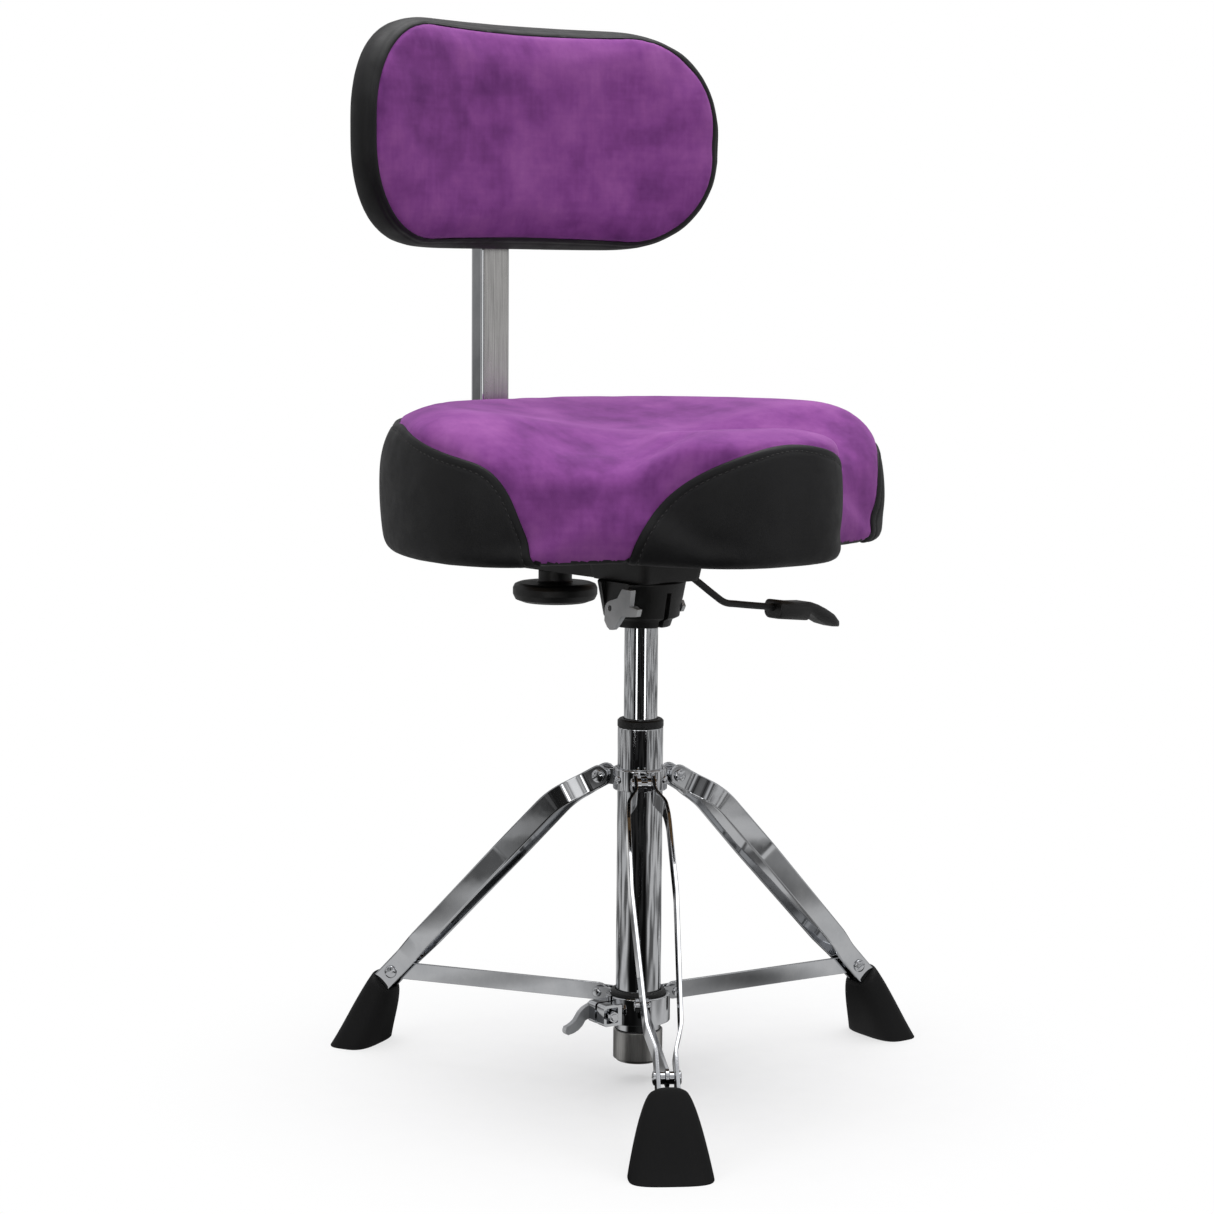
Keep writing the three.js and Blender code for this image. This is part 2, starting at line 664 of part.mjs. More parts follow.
function buildSeatHub() {
  const hub = group('hub_group');
  const under = HUB_BOTTOM - 1;
  const over = HUB_TOP + 1;
  const cone = disc(HUB_BOTTOM_R, HUB_BOTTOM, HUB_TOP, 24, HUB_TOP_R);
  const bore = disc(CYLINDER_R + SNUG, under, over, 24);
  const slot = block(-HUB_SLOT / 2, HUB_SLOT / 2, -HUB_TOP_R - 5, 0, under, HUB_TOP - 8);
  const studHole = rodX(HUB_STUD_R + FREE, -50, 50, HUB_STUD_Y, HUB_STUD_Z);
  const headPocket = rodX(6, HUB_STUD_TO - HUB_STUD_HEAD - 0.5, 50, HUB_STUD_Y, HUB_STUD_Z);
  const leverFlat = block(-50, HUB_FLAT_X, -50, 10, under, over);
  const body = cut(cone, bore, slot, studHole, headPocket, leverFlat);
  piece(hub, 'seat_hub', body, 'black_plastic');

  const stud = join(
    rodX(HUB_STUD_R, HUB_STUD_FROM, HUB_STUD_TO - 1, HUB_STUD_Y, HUB_STUD_Z),
    rodX(5.5, HUB_STUD_TO - HUB_STUD_HEAD, HUB_STUD_TO, HUB_STUD_Y, HUB_STUD_Z, 6),
  );
  piece(hub, 'hub_stud', stud, 'zinc');
  piece(hub, 'hub_lever', hubLever(), 'zinc');
}

// Cam lever on the end of the hub stud: a thumb tab forwards, a fin upwards and an eyed tail.
function hubLever() {
  const outline = new THREE.Shape(); // x is forwards from the stud, y is up from it
  outline.moveTo(-3.5, 17);
  outline.lineTo(-9.5, 9);
  outline.lineTo(-19.5, 6);
  outline.quadraticCurveTo(-25, 4, -25.5, -1);
  outline.lineTo(-26, -11);
  outline.quadraticCurveTo(-19, -23, -12, -15);
  outline.lineTo(-4, -6);
  outline.lineTo(15, -4);
  outline.lineTo(17, 2);
  outline.lineTo(6.5, 3.5);
  outline.lineTo(8.5, 17);
  outline.closePath();
  const plate = slab(outline, -CAM_THICK / 2, CAM_THICK / 2, 4);
  plate.rotateX(Math.PI / 2).rotateZ(-Math.PI / 2);
  plate.translate(HUB_FLAT_X - FREE - CAM_THICK / 2, HUB_STUD_Y, HUB_STUD_Z);
  return cut(
    plate,
    rodX(HUB_STUD_R + FREE, HUB_STUD_FROM - FREE, 0, HUB_STUD_Y, HUB_STUD_Z),
    rodX(CAM_EYE_R, -50, 0, HUB_STUD_Y + CAM_EYE_BACK, HUB_STUD_Z),
  );
}

function buildReleaseHousing() {
  const housing = group('housing_group');
  const bottom = HUB_TOP + SNUG;
  const y = HOUSING_Y / 2;
  const body = cut(
    block(HOUSING_RIGHT, HOUSING_LEFT, -y, y, bottom, HOUSING_TOP),
    disc(CYLINDER_R + SNUG, bottom - 1, CYLINDER_TOP + 2, 24),
    rodX(HOUSING_OPENING_R, 12, HOUSING_LEFT + 5, 0, LEVER_START_Z),
  );
  piece(housing, 'release_housing', body, 'black_steel');
}

function buildSeatPlate() {
  const base = group('seat_plate_group');
  const bottom = HOUSING_TOP + SNUG;
  const top = bottom + PLATE_THICK;
  const boardTop = SEAT_BOTTOM + BOARD_THICK;
  const screwPlaces = [PLATE_FRONT, PLATE_REAR].flatMap((edge) => {
    const y = edge - Math.sign(edge) * PLATE_SCREW_INSET;
    return [[-PLATE_SCREW_X, y], [PLATE_SCREW_X, y]];
  });
  const screwHoles = screwPlaces.map(([x, y]) => {
    return disc(PLATE_SCREW_R + SNUG, bottom - 5, boardTop + 1, 12).translate(x, y, 0);
  });
  const outline = roundedRectangle(PLATE_X, PLATE_REAR - PLATE_FRONT, 14);
  const plate = slab(outline, bottom, top, 4).translate(0, (PLATE_FRONT + PLATE_REAR) / 2, 0);
  piece(base, 'seat_plate', cut(plate, ...screwHoles), 'black_steel');

  const board = slab(seatOutline(BOARD_INSET), SEAT_BOTTOM, boardTop);
  piece(base, 'seat_board', cut(board, ...screwHoles), 'plywood');

  screwPlaces.forEach(([x, y], index) => {
    const screw = join(
      disc(PLATE_SCREW_R, bottom - 2, boardTop - 2, 12),
      disc(5.5, bottom - 3.5, bottom - SNUG, 6),
    );
    piece(base, `seat_screw_${index + 1}`, screw.translate(x, y, 0), 'black_steel');
  });
}

// The height lever: a bent rod out of the housing to the sitter's left, with a flat grip.
function buildHeightLever() {
  const lever = group('height_lever_group');
  const at = (x, z) => new THREE.Vector3(x, 0, z);
  const straightEnd = at(32, LEVER_START_Z);
  const slopeStart = at(46, LEVER_START_Z - 6);
  const slopeEnd = at(LEVER_BEND_X - 11, LEVER_BEND_Z + 7);
  const gripRun = at(LEVER_BEND_X + 13, LEVER_BEND_Z - 2);
  const path = new THREE.CurvePath();
  path.add(new THREE.LineCurve3(at(LEVER_START_X, LEVER_START_Z), straightEnd));
  path.add(new THREE.QuadraticBezierCurve3(straightEnd, at(39, LEVER_START_Z - 1), slopeStart));
  path.add(new THREE.LineCurve3(slopeStart, slopeEnd));
  path.add(new THREE.QuadraticBezierCurve3(slopeEnd, at(LEVER_BEND_X, LEVER_BEND_Z), gripRun));
  path.add(new THREE.LineCurve3(gripRun, at(GRIP_X + 12, GRIP_Z)));
  const section = new THREE.Shape();
  section.absarc(0, 0, LEVER_ROD_R, 0, Math.PI * 2);
  const rod = new THREE.ExtrudeGeometry(section, {
    steps: 11,
    bevelEnabled: false,
    curveSegments: 4,
    extrudePath: path,
  });
  piece(lever, 'height_lever_rod', rod, 'black_steel');

  // Flat paddle that droops and thins towards its tip, with a socket for the rod.
  const side = new THREE.Shape();
  side.moveTo(GRIP_X, GRIP_Z + 8);
  side.lineTo(GRIP_X + 20, GRIP_Z + 5);
  side.quadraticCurveTo(GRIP_X + 52, GRIP_Z + 2, GRIP_X + 75, GRIP_Z - 13);
  side.quadraticCurveTo(GRIP_X + 79, GRIP_Z - 20, GRIP_X + 71, GRIP_Z - 21);
  side.quadraticCurveTo(GRIP_X + 50, GRIP_Z - 18, GRIP_X + 36, GRIP_Z - 9);
  side.lineTo(GRIP_X + 34, GRIP_Z - 12);
  side.lineTo(GRIP_X, GRIP_Z - 9);
  side.closePath();
  // The rod falls this much for each millimetre it runs.
  const socketSlope = (gripRun.z - GRIP_Z) / (GRIP_X + 12 - gripRun.x);
  const socket = mapVertices(
    disc(LEVER_ROD_R + SNUG, 0, 16, 14).rotateY(Math.PI / 2),
    (x, y, z) => [GRIP_X - 1 + x, y, GRIP_Z + z + (13 - x) * socketSlope],
  );
  piece(lever, 'height_lever_grip', cut(sideSlab(side, GRIP_WIDTH, 4), socket), 'black_plastic');
}

// ---------- backrest ----------

// A slice of the backrest pad, `inset` smaller all round and from depth `front` to depth `back`
// behind the face. It is drawn as rings from end to end and bent hollow towards the sitter.
function bentPad(inset, front, back, round = 0, drawnIn = 0) {
  const halfHeight = BACK_HEIGHT / 2 - inset;
  const corner = BACK_CORNER - inset;
  const straight = BACK_WIDTH / 2 - BACK_CORNER;
  const stations = [];
  for (let i = -4; i <= 4; i += 1) {
    stations.push([(straight * i) / 4, halfHeight]);
  }
  for (let i = 1; i <= 6; i += 1) {
    const turn = (Math.PI / 2) * (i / 6);
    const along = straight + corner * Math.sin(turn);
    const half = halfHeight - corner * (1 - Math.cos(turn));
    stations.push([along, half]);
    stations.unshift([-along, half]);
  }
  const rings = stations.map(([along, half]) => {
    const thinner = BACK_THINNING * (along / (BACK_WIDTH / 2)) ** 2;
    const edge = [
      [back - thinner, 0],
      [front + round, 0],
      [front + round * 0.4, drawnIn * 0.2],
      [front, drawnIn],
    ].slice(0, round > 0 ? 4 : 2);
    const at = ([depth, draw], side) => {
      const angle = (along * (1 - draw / (BACK_WIDTH / 2))) / BACK_CURVE_R;
      const radius = BACK_CURVE_R + depth;
      return [
        radius * Math.sin(angle),
        BACK_FRONT - BACK_CURVE_R + radius * Math.cos(angle),
        BACK_Z + side * half * (1 - draw / halfHeight),
      ];
    };
    return [...edge.map((point) => at(point, 1)), ...edge.reverse().map((point) => at(point, -1))];
  });
  return loft(rings);
}

function buildBackrest() {
  const backrest = group('backrest_group');
  const channelBottom = HUB_TOP;
  const channelFront = HOUSING_Y / 2 + SNUG;
  const outside = block(-CHANNEL_X / 2, CHANNEL_X / 2, channelFront, PLATE_REAR,
    channelBottom, HOUSING_TOP);
  const half = CHANNEL_X / 2 - CHANNEL_WALL;
  const inside = block(-half, half, channelFront - 1, PLATE_REAR + 1,
    channelBottom + CHANNEL_WALL, HOUSING_TOP + 1);
  const studHole = disc(KNOB_STUD_R + FREE, channelBottom - 5, channelBottom + 8, 12).translate(0, KNOB_Y, 0);
  piece(backrest, 'backrest_channel', cut(outside, inside, studHole), 'black_steel');

  // The bar runs back inside the channel, turns up behind the seat and carries the pad.
  const low = BAR_RUN_Z - BAR_DEPTH / 2;
  const high = BAR_RUN_Z + BAR_DEPTH / 2;
  const bendZ = BAR_RUN_Z + BAR_BEND_R;
  const bendY = BAR_Y - BAR_BEND_R;
  const outerR = BAR_BEND_R + BAR_DEPTH / 2;
  const innerR = BAR_BEND_R - BAR_DEPTH / 2;
  const profile = new THREE.Shape();
  profile.moveTo(BAR_FRONT_END, low);
  profile.lineTo(bendY, low);
  profile.absarc(bendY, bendZ, outerR, -Math.PI / 2, 0);
  profile.lineTo(BAR_Y + BAR_DEPTH / 2, BAR_TOP);
  profile.lineTo(BAR_Y - BAR_DEPTH / 2, BAR_TOP);
  profile.lineTo(BAR_Y - BAR_DEPTH / 2, bendZ);
  profile.absarc(bendY, bendZ, innerR, 0, -Math.PI / 2, true);
  profile.lineTo(BAR_FRONT_END, high);
  profile.closePath();
  const screwHeights = [BACK_Z - BACK_SCREW_SPREAD / 2, BACK_Z + BACK_SCREW_SPREAD / 2];
  const screwHoles = screwHeights.map((z) => rodY(2.5 + SNUG, BACK_REAR - 12, BAR_Y + 12, 0, z, 12));
  const bar = sideSlab(profile, BAR_X, 6).rotateZ(Math.PI / 2);
  piece(backrest, 'backrest_bar', cut(bar, ...screwHoles), 'chrome');

  screwHeights.forEach((z, index) => {
    const face = BAR_Y + BAR_DEPTH / 2 + SNUG;
    const screw = join(
      rodY(2.5, BACK_REAR - BACK_BOARD_THICK + 2, face + 0.5, 0, z, 12),
      disc(5, 0, 2.4, 14, 3.4).rotateX(-Math.PI / 2).translate(0, face, z),
    );
    piece(backrest, `backrest_screw_${index + 1}`, screw, 'chrome');
  });

  // Clamp knob under the channel: mushroom head, neck and threaded stud in one moulding.
  const knob = turned([
    [0, KNOB_BOTTOM],
    [KNOB_R - 8, KNOB_BOTTOM],
    [KNOB_R - 1, KNOB_BOTTOM + 5],
    [KNOB_R, KNOB_TOP - 6],
    [KNOB_R - 3, KNOB_TOP - 1],
    [KNOB_NECK_R + 2, KNOB_TOP],
    [KNOB_NECK_R, channelBottom - FREE],
    [KNOB_STUD_R, channelBottom - FREE],
    [KNOB_STUD_R, low - FREE],
    [0, low - FREE],
  ], 24).translate(0, KNOB_Y, 0);
  piece(backrest, 'backrest_knob', knob, 'black_plastic');

  const thickness = BACK_REAR - BACK_FRONT;
  const pad = bentPad(0, 0, thickness, BACK_EDGE_ROUND, BACK_EDGE_INSET);
  const pocketFront = thickness - BACK_BOARD_THICK - SNUG;
  const pocket = bentPad(BACK_BOARD_INSET - SNUG, pocketFront, thickness + 1);
  piece(backrest, 'back_cushion', cut(pad, pocket), 'velvet');

  const board = bentPad(BACK_BOARD_INSET, thickness - BACK_BOARD_THICK, thickness);
  piece(backrest, 'back_board', cut(board, ...screwHoles), 'black_plastic');
}

// ---------- seat cushion ----------

// Right half of the saddle outline, from the middle of the nose round to the middle of the rear.
const SEAT_HALF_OUTLINE = [
  [0, -188], [42, -186], [68, -171], [85, -147], [106, -117], [140, -98], [180, -90],
  [212, -73], [228, -42], [232, 0], [221, 50], [196, 96], [160, 136], [112, 164], [60, 180],
  [0, 185],
];

function seatOutline(inset = 0) {
  const right = SEAT_HALF_OUTLINE.map(([x, y]) => new THREE.Vector3(x, y, 0));
  const left = SEAT_HALF_OUTLINE.slice(1, -1).reverse().map(([x, y]) => new THREE.Vector3(-x, y, 0));
  const curve = new THREE.CatmullRomCurve3([...right, ...left], true, 'centripetal');
  const count = 44;
  const points = [];
  for (let i = 0; i < count; i += 1) {
    const place = curve.getPoint(i / count);
    const ahead = curve.getTangent(i / count);
    points.push(new THREE.Vector2(place.x - inset * ahead.y, place.y + inset * ahead.x));
  }
  return new THREE.Shape(points);
}

// A cushion block: an outline given height, its far edge rounded over and drawn in.
function softSlab(shape, bottom, top, round, inset, curveSegments, steps) {
  const height = top - bottom;
  const geometry = new THREE.ExtrudeGeometry(shape, {
    depth: height,
    steps,
    bevelEnabled: false,
    curveSegments,
  });
  const box = new THREE.Box3().setFromBufferAttribute(geometry.attributes.position);
  const reachX = box.max.x;
  const reachY = (box.max.y - box.min.y) / 2;
  const wallSteps = 2;
  return mapVertices(geometry, (x, y, z) => {
    const step = Math.round((z / height) * steps);
    const turn = Math.max(0, (step - wallSteps) / (steps - wallSteps)) * (Math.PI / 2);
    const wall = (height - round) * Math.min(1, step / wallSteps);
    const rise = wall + round * Math.sin(turn);
    const drawIn = inset * (1 - Math.cos(turn));
    return [x * (1 - drawIn / reachX), y * (1 - drawIn / reachY), bottom + rise];
  });
}

function buildSeatCushion() {
  const seat = group('seat_group');
  const pad = softSlab(seatOutline(), SEAT_BOTTOM, SEAT_TOP, SEAT_EDGE_ROUND, SEAT_EDGE_INSET, 8, 5);
  const pocketTop = SEAT_BOTTOM + BOARD_THICK + SNUG;
  const pocket = slab(seatOutline(BOARD_INSET - SNUG), SEAT_BOTTOM - 1, pocketTop);
  piece(seat, 'seat_cushion', cut(pad, pocket), 'velvet');
}

buildColumn();
buildGasLift();
buildUpperCollar();
buildLowerCollar();
buildLegs();
buildSeatHub();
buildReleaseHousing();
buildSeatPlate();
buildHeightLever();
buildBackrest();
buildSeatCushion();

const bounds = new THREE.Box3().setFromObject(throne, true);
throne.position.x = -(bounds.min.x + bounds.max.x) / 2;
throne.position.y = -(bounds.min.y + bounds.max.y) / 2;

export default throne;
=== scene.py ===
"""Looks for the drum throne: materials, smooth turned and bent metal, simulated cushions with sewn
panels, a pale studio and the camera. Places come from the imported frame; small sizes are in mm."""

import json
import math

import bmesh
import bpy
from mathutils import Matrix, Vector
from mathutils.bvhtree import BVHTree
from mathutils.kdtree import KDTree


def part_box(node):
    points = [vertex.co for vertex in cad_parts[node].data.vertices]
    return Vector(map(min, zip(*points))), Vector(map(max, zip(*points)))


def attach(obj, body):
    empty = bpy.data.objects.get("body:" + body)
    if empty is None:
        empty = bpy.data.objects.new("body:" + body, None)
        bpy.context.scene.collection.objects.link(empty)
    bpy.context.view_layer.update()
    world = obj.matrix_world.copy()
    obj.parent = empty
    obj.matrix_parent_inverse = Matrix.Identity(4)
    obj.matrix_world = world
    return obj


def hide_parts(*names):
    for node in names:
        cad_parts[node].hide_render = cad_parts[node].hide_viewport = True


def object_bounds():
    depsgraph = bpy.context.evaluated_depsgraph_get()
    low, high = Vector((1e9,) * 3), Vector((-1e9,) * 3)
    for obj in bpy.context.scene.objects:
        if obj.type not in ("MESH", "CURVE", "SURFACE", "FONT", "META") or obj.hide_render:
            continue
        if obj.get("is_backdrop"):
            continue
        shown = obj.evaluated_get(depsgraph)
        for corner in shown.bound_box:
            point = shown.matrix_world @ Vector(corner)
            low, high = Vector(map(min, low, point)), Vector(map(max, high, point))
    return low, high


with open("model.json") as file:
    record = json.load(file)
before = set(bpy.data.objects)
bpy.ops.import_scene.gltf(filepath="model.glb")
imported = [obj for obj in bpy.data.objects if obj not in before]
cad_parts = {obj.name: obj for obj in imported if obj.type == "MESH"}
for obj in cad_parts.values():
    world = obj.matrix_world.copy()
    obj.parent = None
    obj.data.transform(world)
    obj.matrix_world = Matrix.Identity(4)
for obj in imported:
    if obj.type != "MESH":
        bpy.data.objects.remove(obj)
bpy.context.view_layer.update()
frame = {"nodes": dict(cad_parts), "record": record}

MM = 0.001
SNUG = 0.15  # gap in mm between pieces that stay put against each other
RIGHT, BACK, UP = Vector((1, 0, 0)), Vector((0, 1, 0)), Vector((0, 0, 1))
LEGS = ("front_leg", "left_leg", "rear_leg")


def middle(*nodes):
    """The middle of the box round some CAD nodes."""
    low = Vector([min(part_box(n)[0][i] for n in nodes) for i in range(3)])
    high = Vector([max(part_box(n)[1][i] for n in nodes) for i in range(3)])
    return (low + high) / 2


AXIS = middle("column_tube")
AXIS.z = 0


def mix(a, b, share):
    return a + (b - a) * share


def smooth(low, high, value):
    share = min(1, max(0, (value - low) / (high - low)))
    return share * share * (3 - 2 * share)


# ---------------------------------------------------------------- materials


class Nodes:
    """A node tree: add() makes a node, joins its inputs and returns one of its outputs."""

    def __init__(self, tree, place):
        self.tree = tree
        self.place = self.add("TexCoord").node.outputs[place]

    def add(self, kind, output=0, settings=None, **inputs):
        node = self.tree.nodes.new("ShaderNode" + kind)
        for key, value in (settings or {}).items():
            setattr(node, key, value)
        for key, value in inputs.items():
            self.join(node.inputs[key.replace("_", " ")], value)
        return node.outputs[output]

    def join(self, socket, value):
        if isinstance(value, bpy.types.NodeSocket):
            self.tree.links.new(value, socket)
        else:
            socket.default_value = value

    def stretched(self, x=1, y=1, z=1):
        return self.add("Mapping", Vector=self.place, Scale=(x, y, z))

    def noise(self, scale, detail=4, roughness=0.55, at=None):
        return self.add("TexNoise", Vector=at or self.place, Scale=scale, Detail=detail, Roughness=roughness)

    def ramp(self, factor, stops):
        out = self.add("ValToRGB", Fac=factor)
        elements = out.node.color_ramp.elements
        while len(elements) < len(stops):
            elements.new(0.5)
        for element, (position, colour) in zip(elements, stops):
            element.position = position
            element.color = colour
        return out

    def grey(self, factor, low, high, start=0.3, end=0.7):
        """factor turned into a value that goes from low to high."""
        return self.add("MapRange", Value=factor, From_Min=start, From_Max=end, To_Min=low, To_Max=high)

    def math(self, operation, first, second):
        out = self.add("Math", settings={"operation": operation}, Value=first)
        self.join(out.node.inputs[1], second)
        return out

    def facing(self, way, direction):
        """How nearly way points along direction: 1 is straight along it."""
        out = self.add("VectorMath", output=1, settings={"operation": "DOT_PRODUCT"}, Vector=way)
        self.join(out.node.inputs[1], direction)
        return out

    def blend(self, share, first, second):
        """A colour that goes from first to second."""
        out = self.add("Mix", output=2, settings={"data_type": "RGBA"})
        for index, value in ((0, share), (6, first), (7, second)):
            self.join(out.node.inputs[index], value)
        return out

    def either(self, share, first, second):
        """Two surfaces mixed."""
        out = self.add("MixShader", Fac=share)
        self.join(out.node.inputs[1], first)
        self.join(out.node.inputs[2], second)
        return out

    def bump(self, height, strength, distance, below=None):
        out = self.add("Bump", Height=height, Strength=strength, Distance=distance)
        if below is not None:
            self.join(out.node.inputs["Normal"], below)
        return out


class Shader(Nodes):
    """The nodes of a material."""

    def __init__(self, name):
        self.material = bpy.data.materials.new(name)
        self.material.use_nodes = True
        super().__init__(self.material.node_tree, "Object")
        self.surface = self.tree.nodes["Principled BSDF"]

    def set(self, **inputs):
        for key, value in inputs.items():
            self.join(self.surface.inputs[key.replace("_", " ")], value)

    def worn(self, ground, rubbed):
        """ground, turning to rubbed on sharp outer edges."""
        pointed = self.add("NewGeometry", output="Pointiness")
        return self.blend(self.grey(pointed, 0, 1, 0.52, 0.6), ground, rubbed)


def tone(red, green, blue):
    """A linear colour from 0-255 screen values."""
    return (*[((v / 255 + 0.055) / 1.055) ** 2.4 for v in (red, green, blue)], 1)


def velvet():
    shader = Shader("velvet")
    blotches = shader.noise(9, 5, 0.6)
    patches = shader.noise(34, 4, 0.55)
    threads_down = shader.noise(220, 3, 0.5, shader.stretched(1, 1, 0.12))
    threads_across = shader.noise(220, 3, 0.5, shader.stretched(0.12, 0.12, 1))
    nap = shader.math(
        "ADD", shader.grey(blotches, 0, 0.6, 0.32, 0.68), shader.grey(patches, 0, 0.4, 0.32, 0.7)
    )
    weave = shader.math("MULTIPLY", threads_down, threads_across)
    woven = shader.math("ADD", nap, shader.grey(weave, -0.05, 0.05, 0.15, 0.38))
    colour = shader.ramp(
        woven, [(0.0, tone(92, 43, 102)), (0.45, tone(127, 66, 135)), (1.0, tone(154, 91, 158))]
    )
    pile = shader.noise(1500, 2, 0.7)
    crushed = shader.bump(patches, 0.22, 0.0012)
    shader.set(
        Base_Color=colour,
        Roughness=0.86,
        Specular_IOR_Level=0.12,
        Sheen_Weight=0.4,
        Sheen_Roughness=0.4,
        Sheen_Tint=tone(226, 160, 232),
        Normal=shader.bump(pile, 0.35, 0.0004, shader.bump(weave, 0.15, 0.0003, crushed)),
    )
    return shader.material


def vinyl():
    shader = Shader("vinyl")
    edges = {"feature": "DISTANCE_TO_EDGE"}
    grain = shader.add("TexVoronoi", settings=edges, Vector=shader.place, Scale=780)
    pores = shader.noise(1400, 2)
    clouds = shader.noise(14, 4)
    colour = shader.ramp(clouds, [(0.3, tone(15, 15, 16)), (0.75, tone(24, 24, 25))])
    creases = shader.noise(60, 4, 0.6)
    shader.set(
        Base_Color=colour,
        Roughness=shader.grey(creases, 0.46, 0.6),
        Specular_IOR_Level=0.3,
        Normal=shader.bump(
            grain, 0.25, 0.0004, shader.bump(pores, 0.12, 0.0002, shader.bump(creases, 0.1, 0.0006))
        ),
    )
    return shader.material


def thread():
    shader = Shader("thread")
    twist = shader.add("TexWave", Vector=shader.place, Scale=1800, Distortion=2)
    shader.set(
        Base_Color=shader.ramp(twist, [(0, tone(30, 29, 30)), (1, tone(54, 53, 53))]),
        Roughness=0.7,
        Normal=shader.bump(twist, 0.4, 0.0002),
    )
    return shader.material


def chrome():
    shader = Shader("chrome")
    smudges = shader.noise(26, 5, 0.65)
    scratches = shader.noise(900, 2, 0.5, shader.stretched(1, 1, 0.03))
    shader.set(
        Metallic=1,
        Base_Color=shader.ramp(smudges, [(0.3, tone(186, 188, 191)), (0.7, tone(206, 207, 209))]),
        Roughness=shader.grey(smudges, 0.02, 0.08, 0.35, 0.75),
        Normal=shader.bump(scratches, 0.02, 0.0001, shader.bump(shader.noise(45, 2), 0.03, 0.001)),
    )
    return shader.material


def brushed(name, stretch, light, rough):
    """Steel brushed up and down: the smaller stretch is, the longer its strokes."""
    shader = Shader(name)
    strokes = shader.noise(1100, 3, 0.6, shader.stretched(1, 1, stretch))
    stains = shader.noise(22, 4)
    dark = tone(light - 26, light - 27, light - 29)
    bright = tone(light + 22, light + 21, light + 18)
    shader.set(
        Metallic=1,
        Base_Color=shader.ramp(strokes, [(0.25, dark), (0.8, bright)]),
        Roughness=shader.grey(stains, rough - 0.05, rough + 0.08),
        Normal=shader.bump(strokes, 0.12, 0.0002),
    )
    return shader.material


def zinc():
    shader = Shader("zinc")
    cast = shader.noise(240, 4, 0.6)
    tarnish = shader.noise(30, 4)
    dull = shader.ramp(tarnish, [(0.3, tone(150, 152, 155)), (0.7, tone(186, 188, 190))])
    shader.set(
        Metallic=0.35,
        Base_Color=shader.worn(dull, tone(222, 223, 224)),
        Roughness=shader.grey(tarnish, 0.3, 0.44),
        Normal=shader.bump(cast, 0.12, 0.0005),
    )
    return shader.material


def black_finish(name, dark, rough, grain_scale, grain_depth, specular):
    """A moulded or painted black: fine grain, uneven sheen and paler rubbed edges."""
    light = dark + 8
    shader = Shader(name)
    grain = shader.noise(grain_scale, 3, 0.6)
    dust = shader.noise(36, 5, 0.65)
    ground = shader.ramp(dust, [(0.3, tone(dark, dark, dark)), (0.75, tone(light, light, light + 1))])
    shader.set(
        Base_Color=shader.worn(ground, tone(light + 26, light + 26, light + 26)),
        Roughness=shader.grey(dust, rough - 0.06, rough + 0.08),
        Specular_IOR_Level=specular,
        Normal=shader.bump(grain, 0.3, grain_depth),
    )
    return shader.material


def plywood():
    shader = Shader("plywood")
    figure = shader.noise(16, 5, 0.6, shader.stretched(1, 0.12, 1))
    pores = shader.noise(500, 3, 0.5, shader.stretched(1, 0.05, 1))
    shader.set(
        Base_Color=shader.ramp(figure, [(0.3, tone(139, 103, 66)), (0.7, tone(196, 158, 112))]),
        Roughness=0.72,
        Normal=shader.bump(pores, 0.25, 0.0004),
    )
    return shader.material


FINISH = {
    "velvet": velvet(),
    "vinyl": vinyl(),
    "thread": thread(),
    "chrome": chrome(),
    "satin_steel": brushed("satin_steel", 0.02, light=186, rough=0.24),
    "brushed_steel": brushed("brushed_steel", 0.05, light=172, rough=0.36),
    "zinc": zinc(),
    "black_steel": black_finish("black_steel", 12, 0.5, 900, 0.0003, specular=0.4),
    "black_plastic": black_finish("black_plastic", 11, 0.42, 1500, 0.0002, specular=0.4),
    "black_rubber": black_finish("black_rubber", 9, 0.66, 700, 0.0003, specular=0.22),
    "plywood": plywood(),
}


# ---------------------------------------------------------------- mesh building


def piece(name, vertices, faces, finish, body, stands_for=(), slot=None, crease=32):
    """A mesh that rides on a body, shaded smooth except over creases sharper than that angle."""
    mesh = bpy.data.meshes.new(name)
    mesh.from_pydata([tuple(v) for v in vertices], [], faces)
    mesh.validate()
    made = bpy.data.objects.new(name, mesh)
    bpy.context.scene.collection.objects.link(made)
    repair(made)
    return dress(made, finish, body, stands_for, slot, crease)


def repair(made):
    """Welds doubled points and turns all the faces outwards."""
    built = bmesh.new()
    built.from_mesh(made.data)
    bmesh.ops.remove_doubles(built, verts=built.verts, dist=1e-6)
    bmesh.ops.recalc_face_normals(built, faces=built.faces)
    built.to_mesh(made.data)
    built.free()


def dress(made, finish, body, stands_for=(), slot=None, crease=32):
    made.data.materials.clear()
    made.data.materials.append(FINISH[finish])
    made.data.shade_smooth()
    made.data.set_sharp_from_angle(angle=math.radians(crease))
    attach(made, body)
    if stands_for:
        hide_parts(*stands_for)
    slot or finish
    return made


def soften(made, width, segments=2):
    bevel = made.modifiers.new("edges", "BEVEL")
    bevel.width = width * MM
    bevel.segments = segments
    bevel.limit_method = "ANGLE"
    bevel.angle_limit = math.radians(35)
    bevel.harden_normals = True
    return made


def apply_modifiers(made):
    view = bpy.context.evaluated_depsgraph_get()
    mesh = bpy.data.meshes.new_from_object(made.evaluated_get(view))
    made.modifiers.clear()
    made.data = mesh


def modify(made, kind, **settings):
    """Adds a modifier and applies it."""
    step = made.modifiers.new(kind, kind)
    for key, value in settings.items():
        setattr(step, key, value)
    apply_modifiers(made)


def carve(made, tool, operation="DIFFERENCE"):
    """Cuts tool out of made, or joins it on; tool is used up."""
    modify(made, "BOOLEAN", operation=operation, object=tool, solver="EXACT")
    bpy.data.objects.remove(tool)


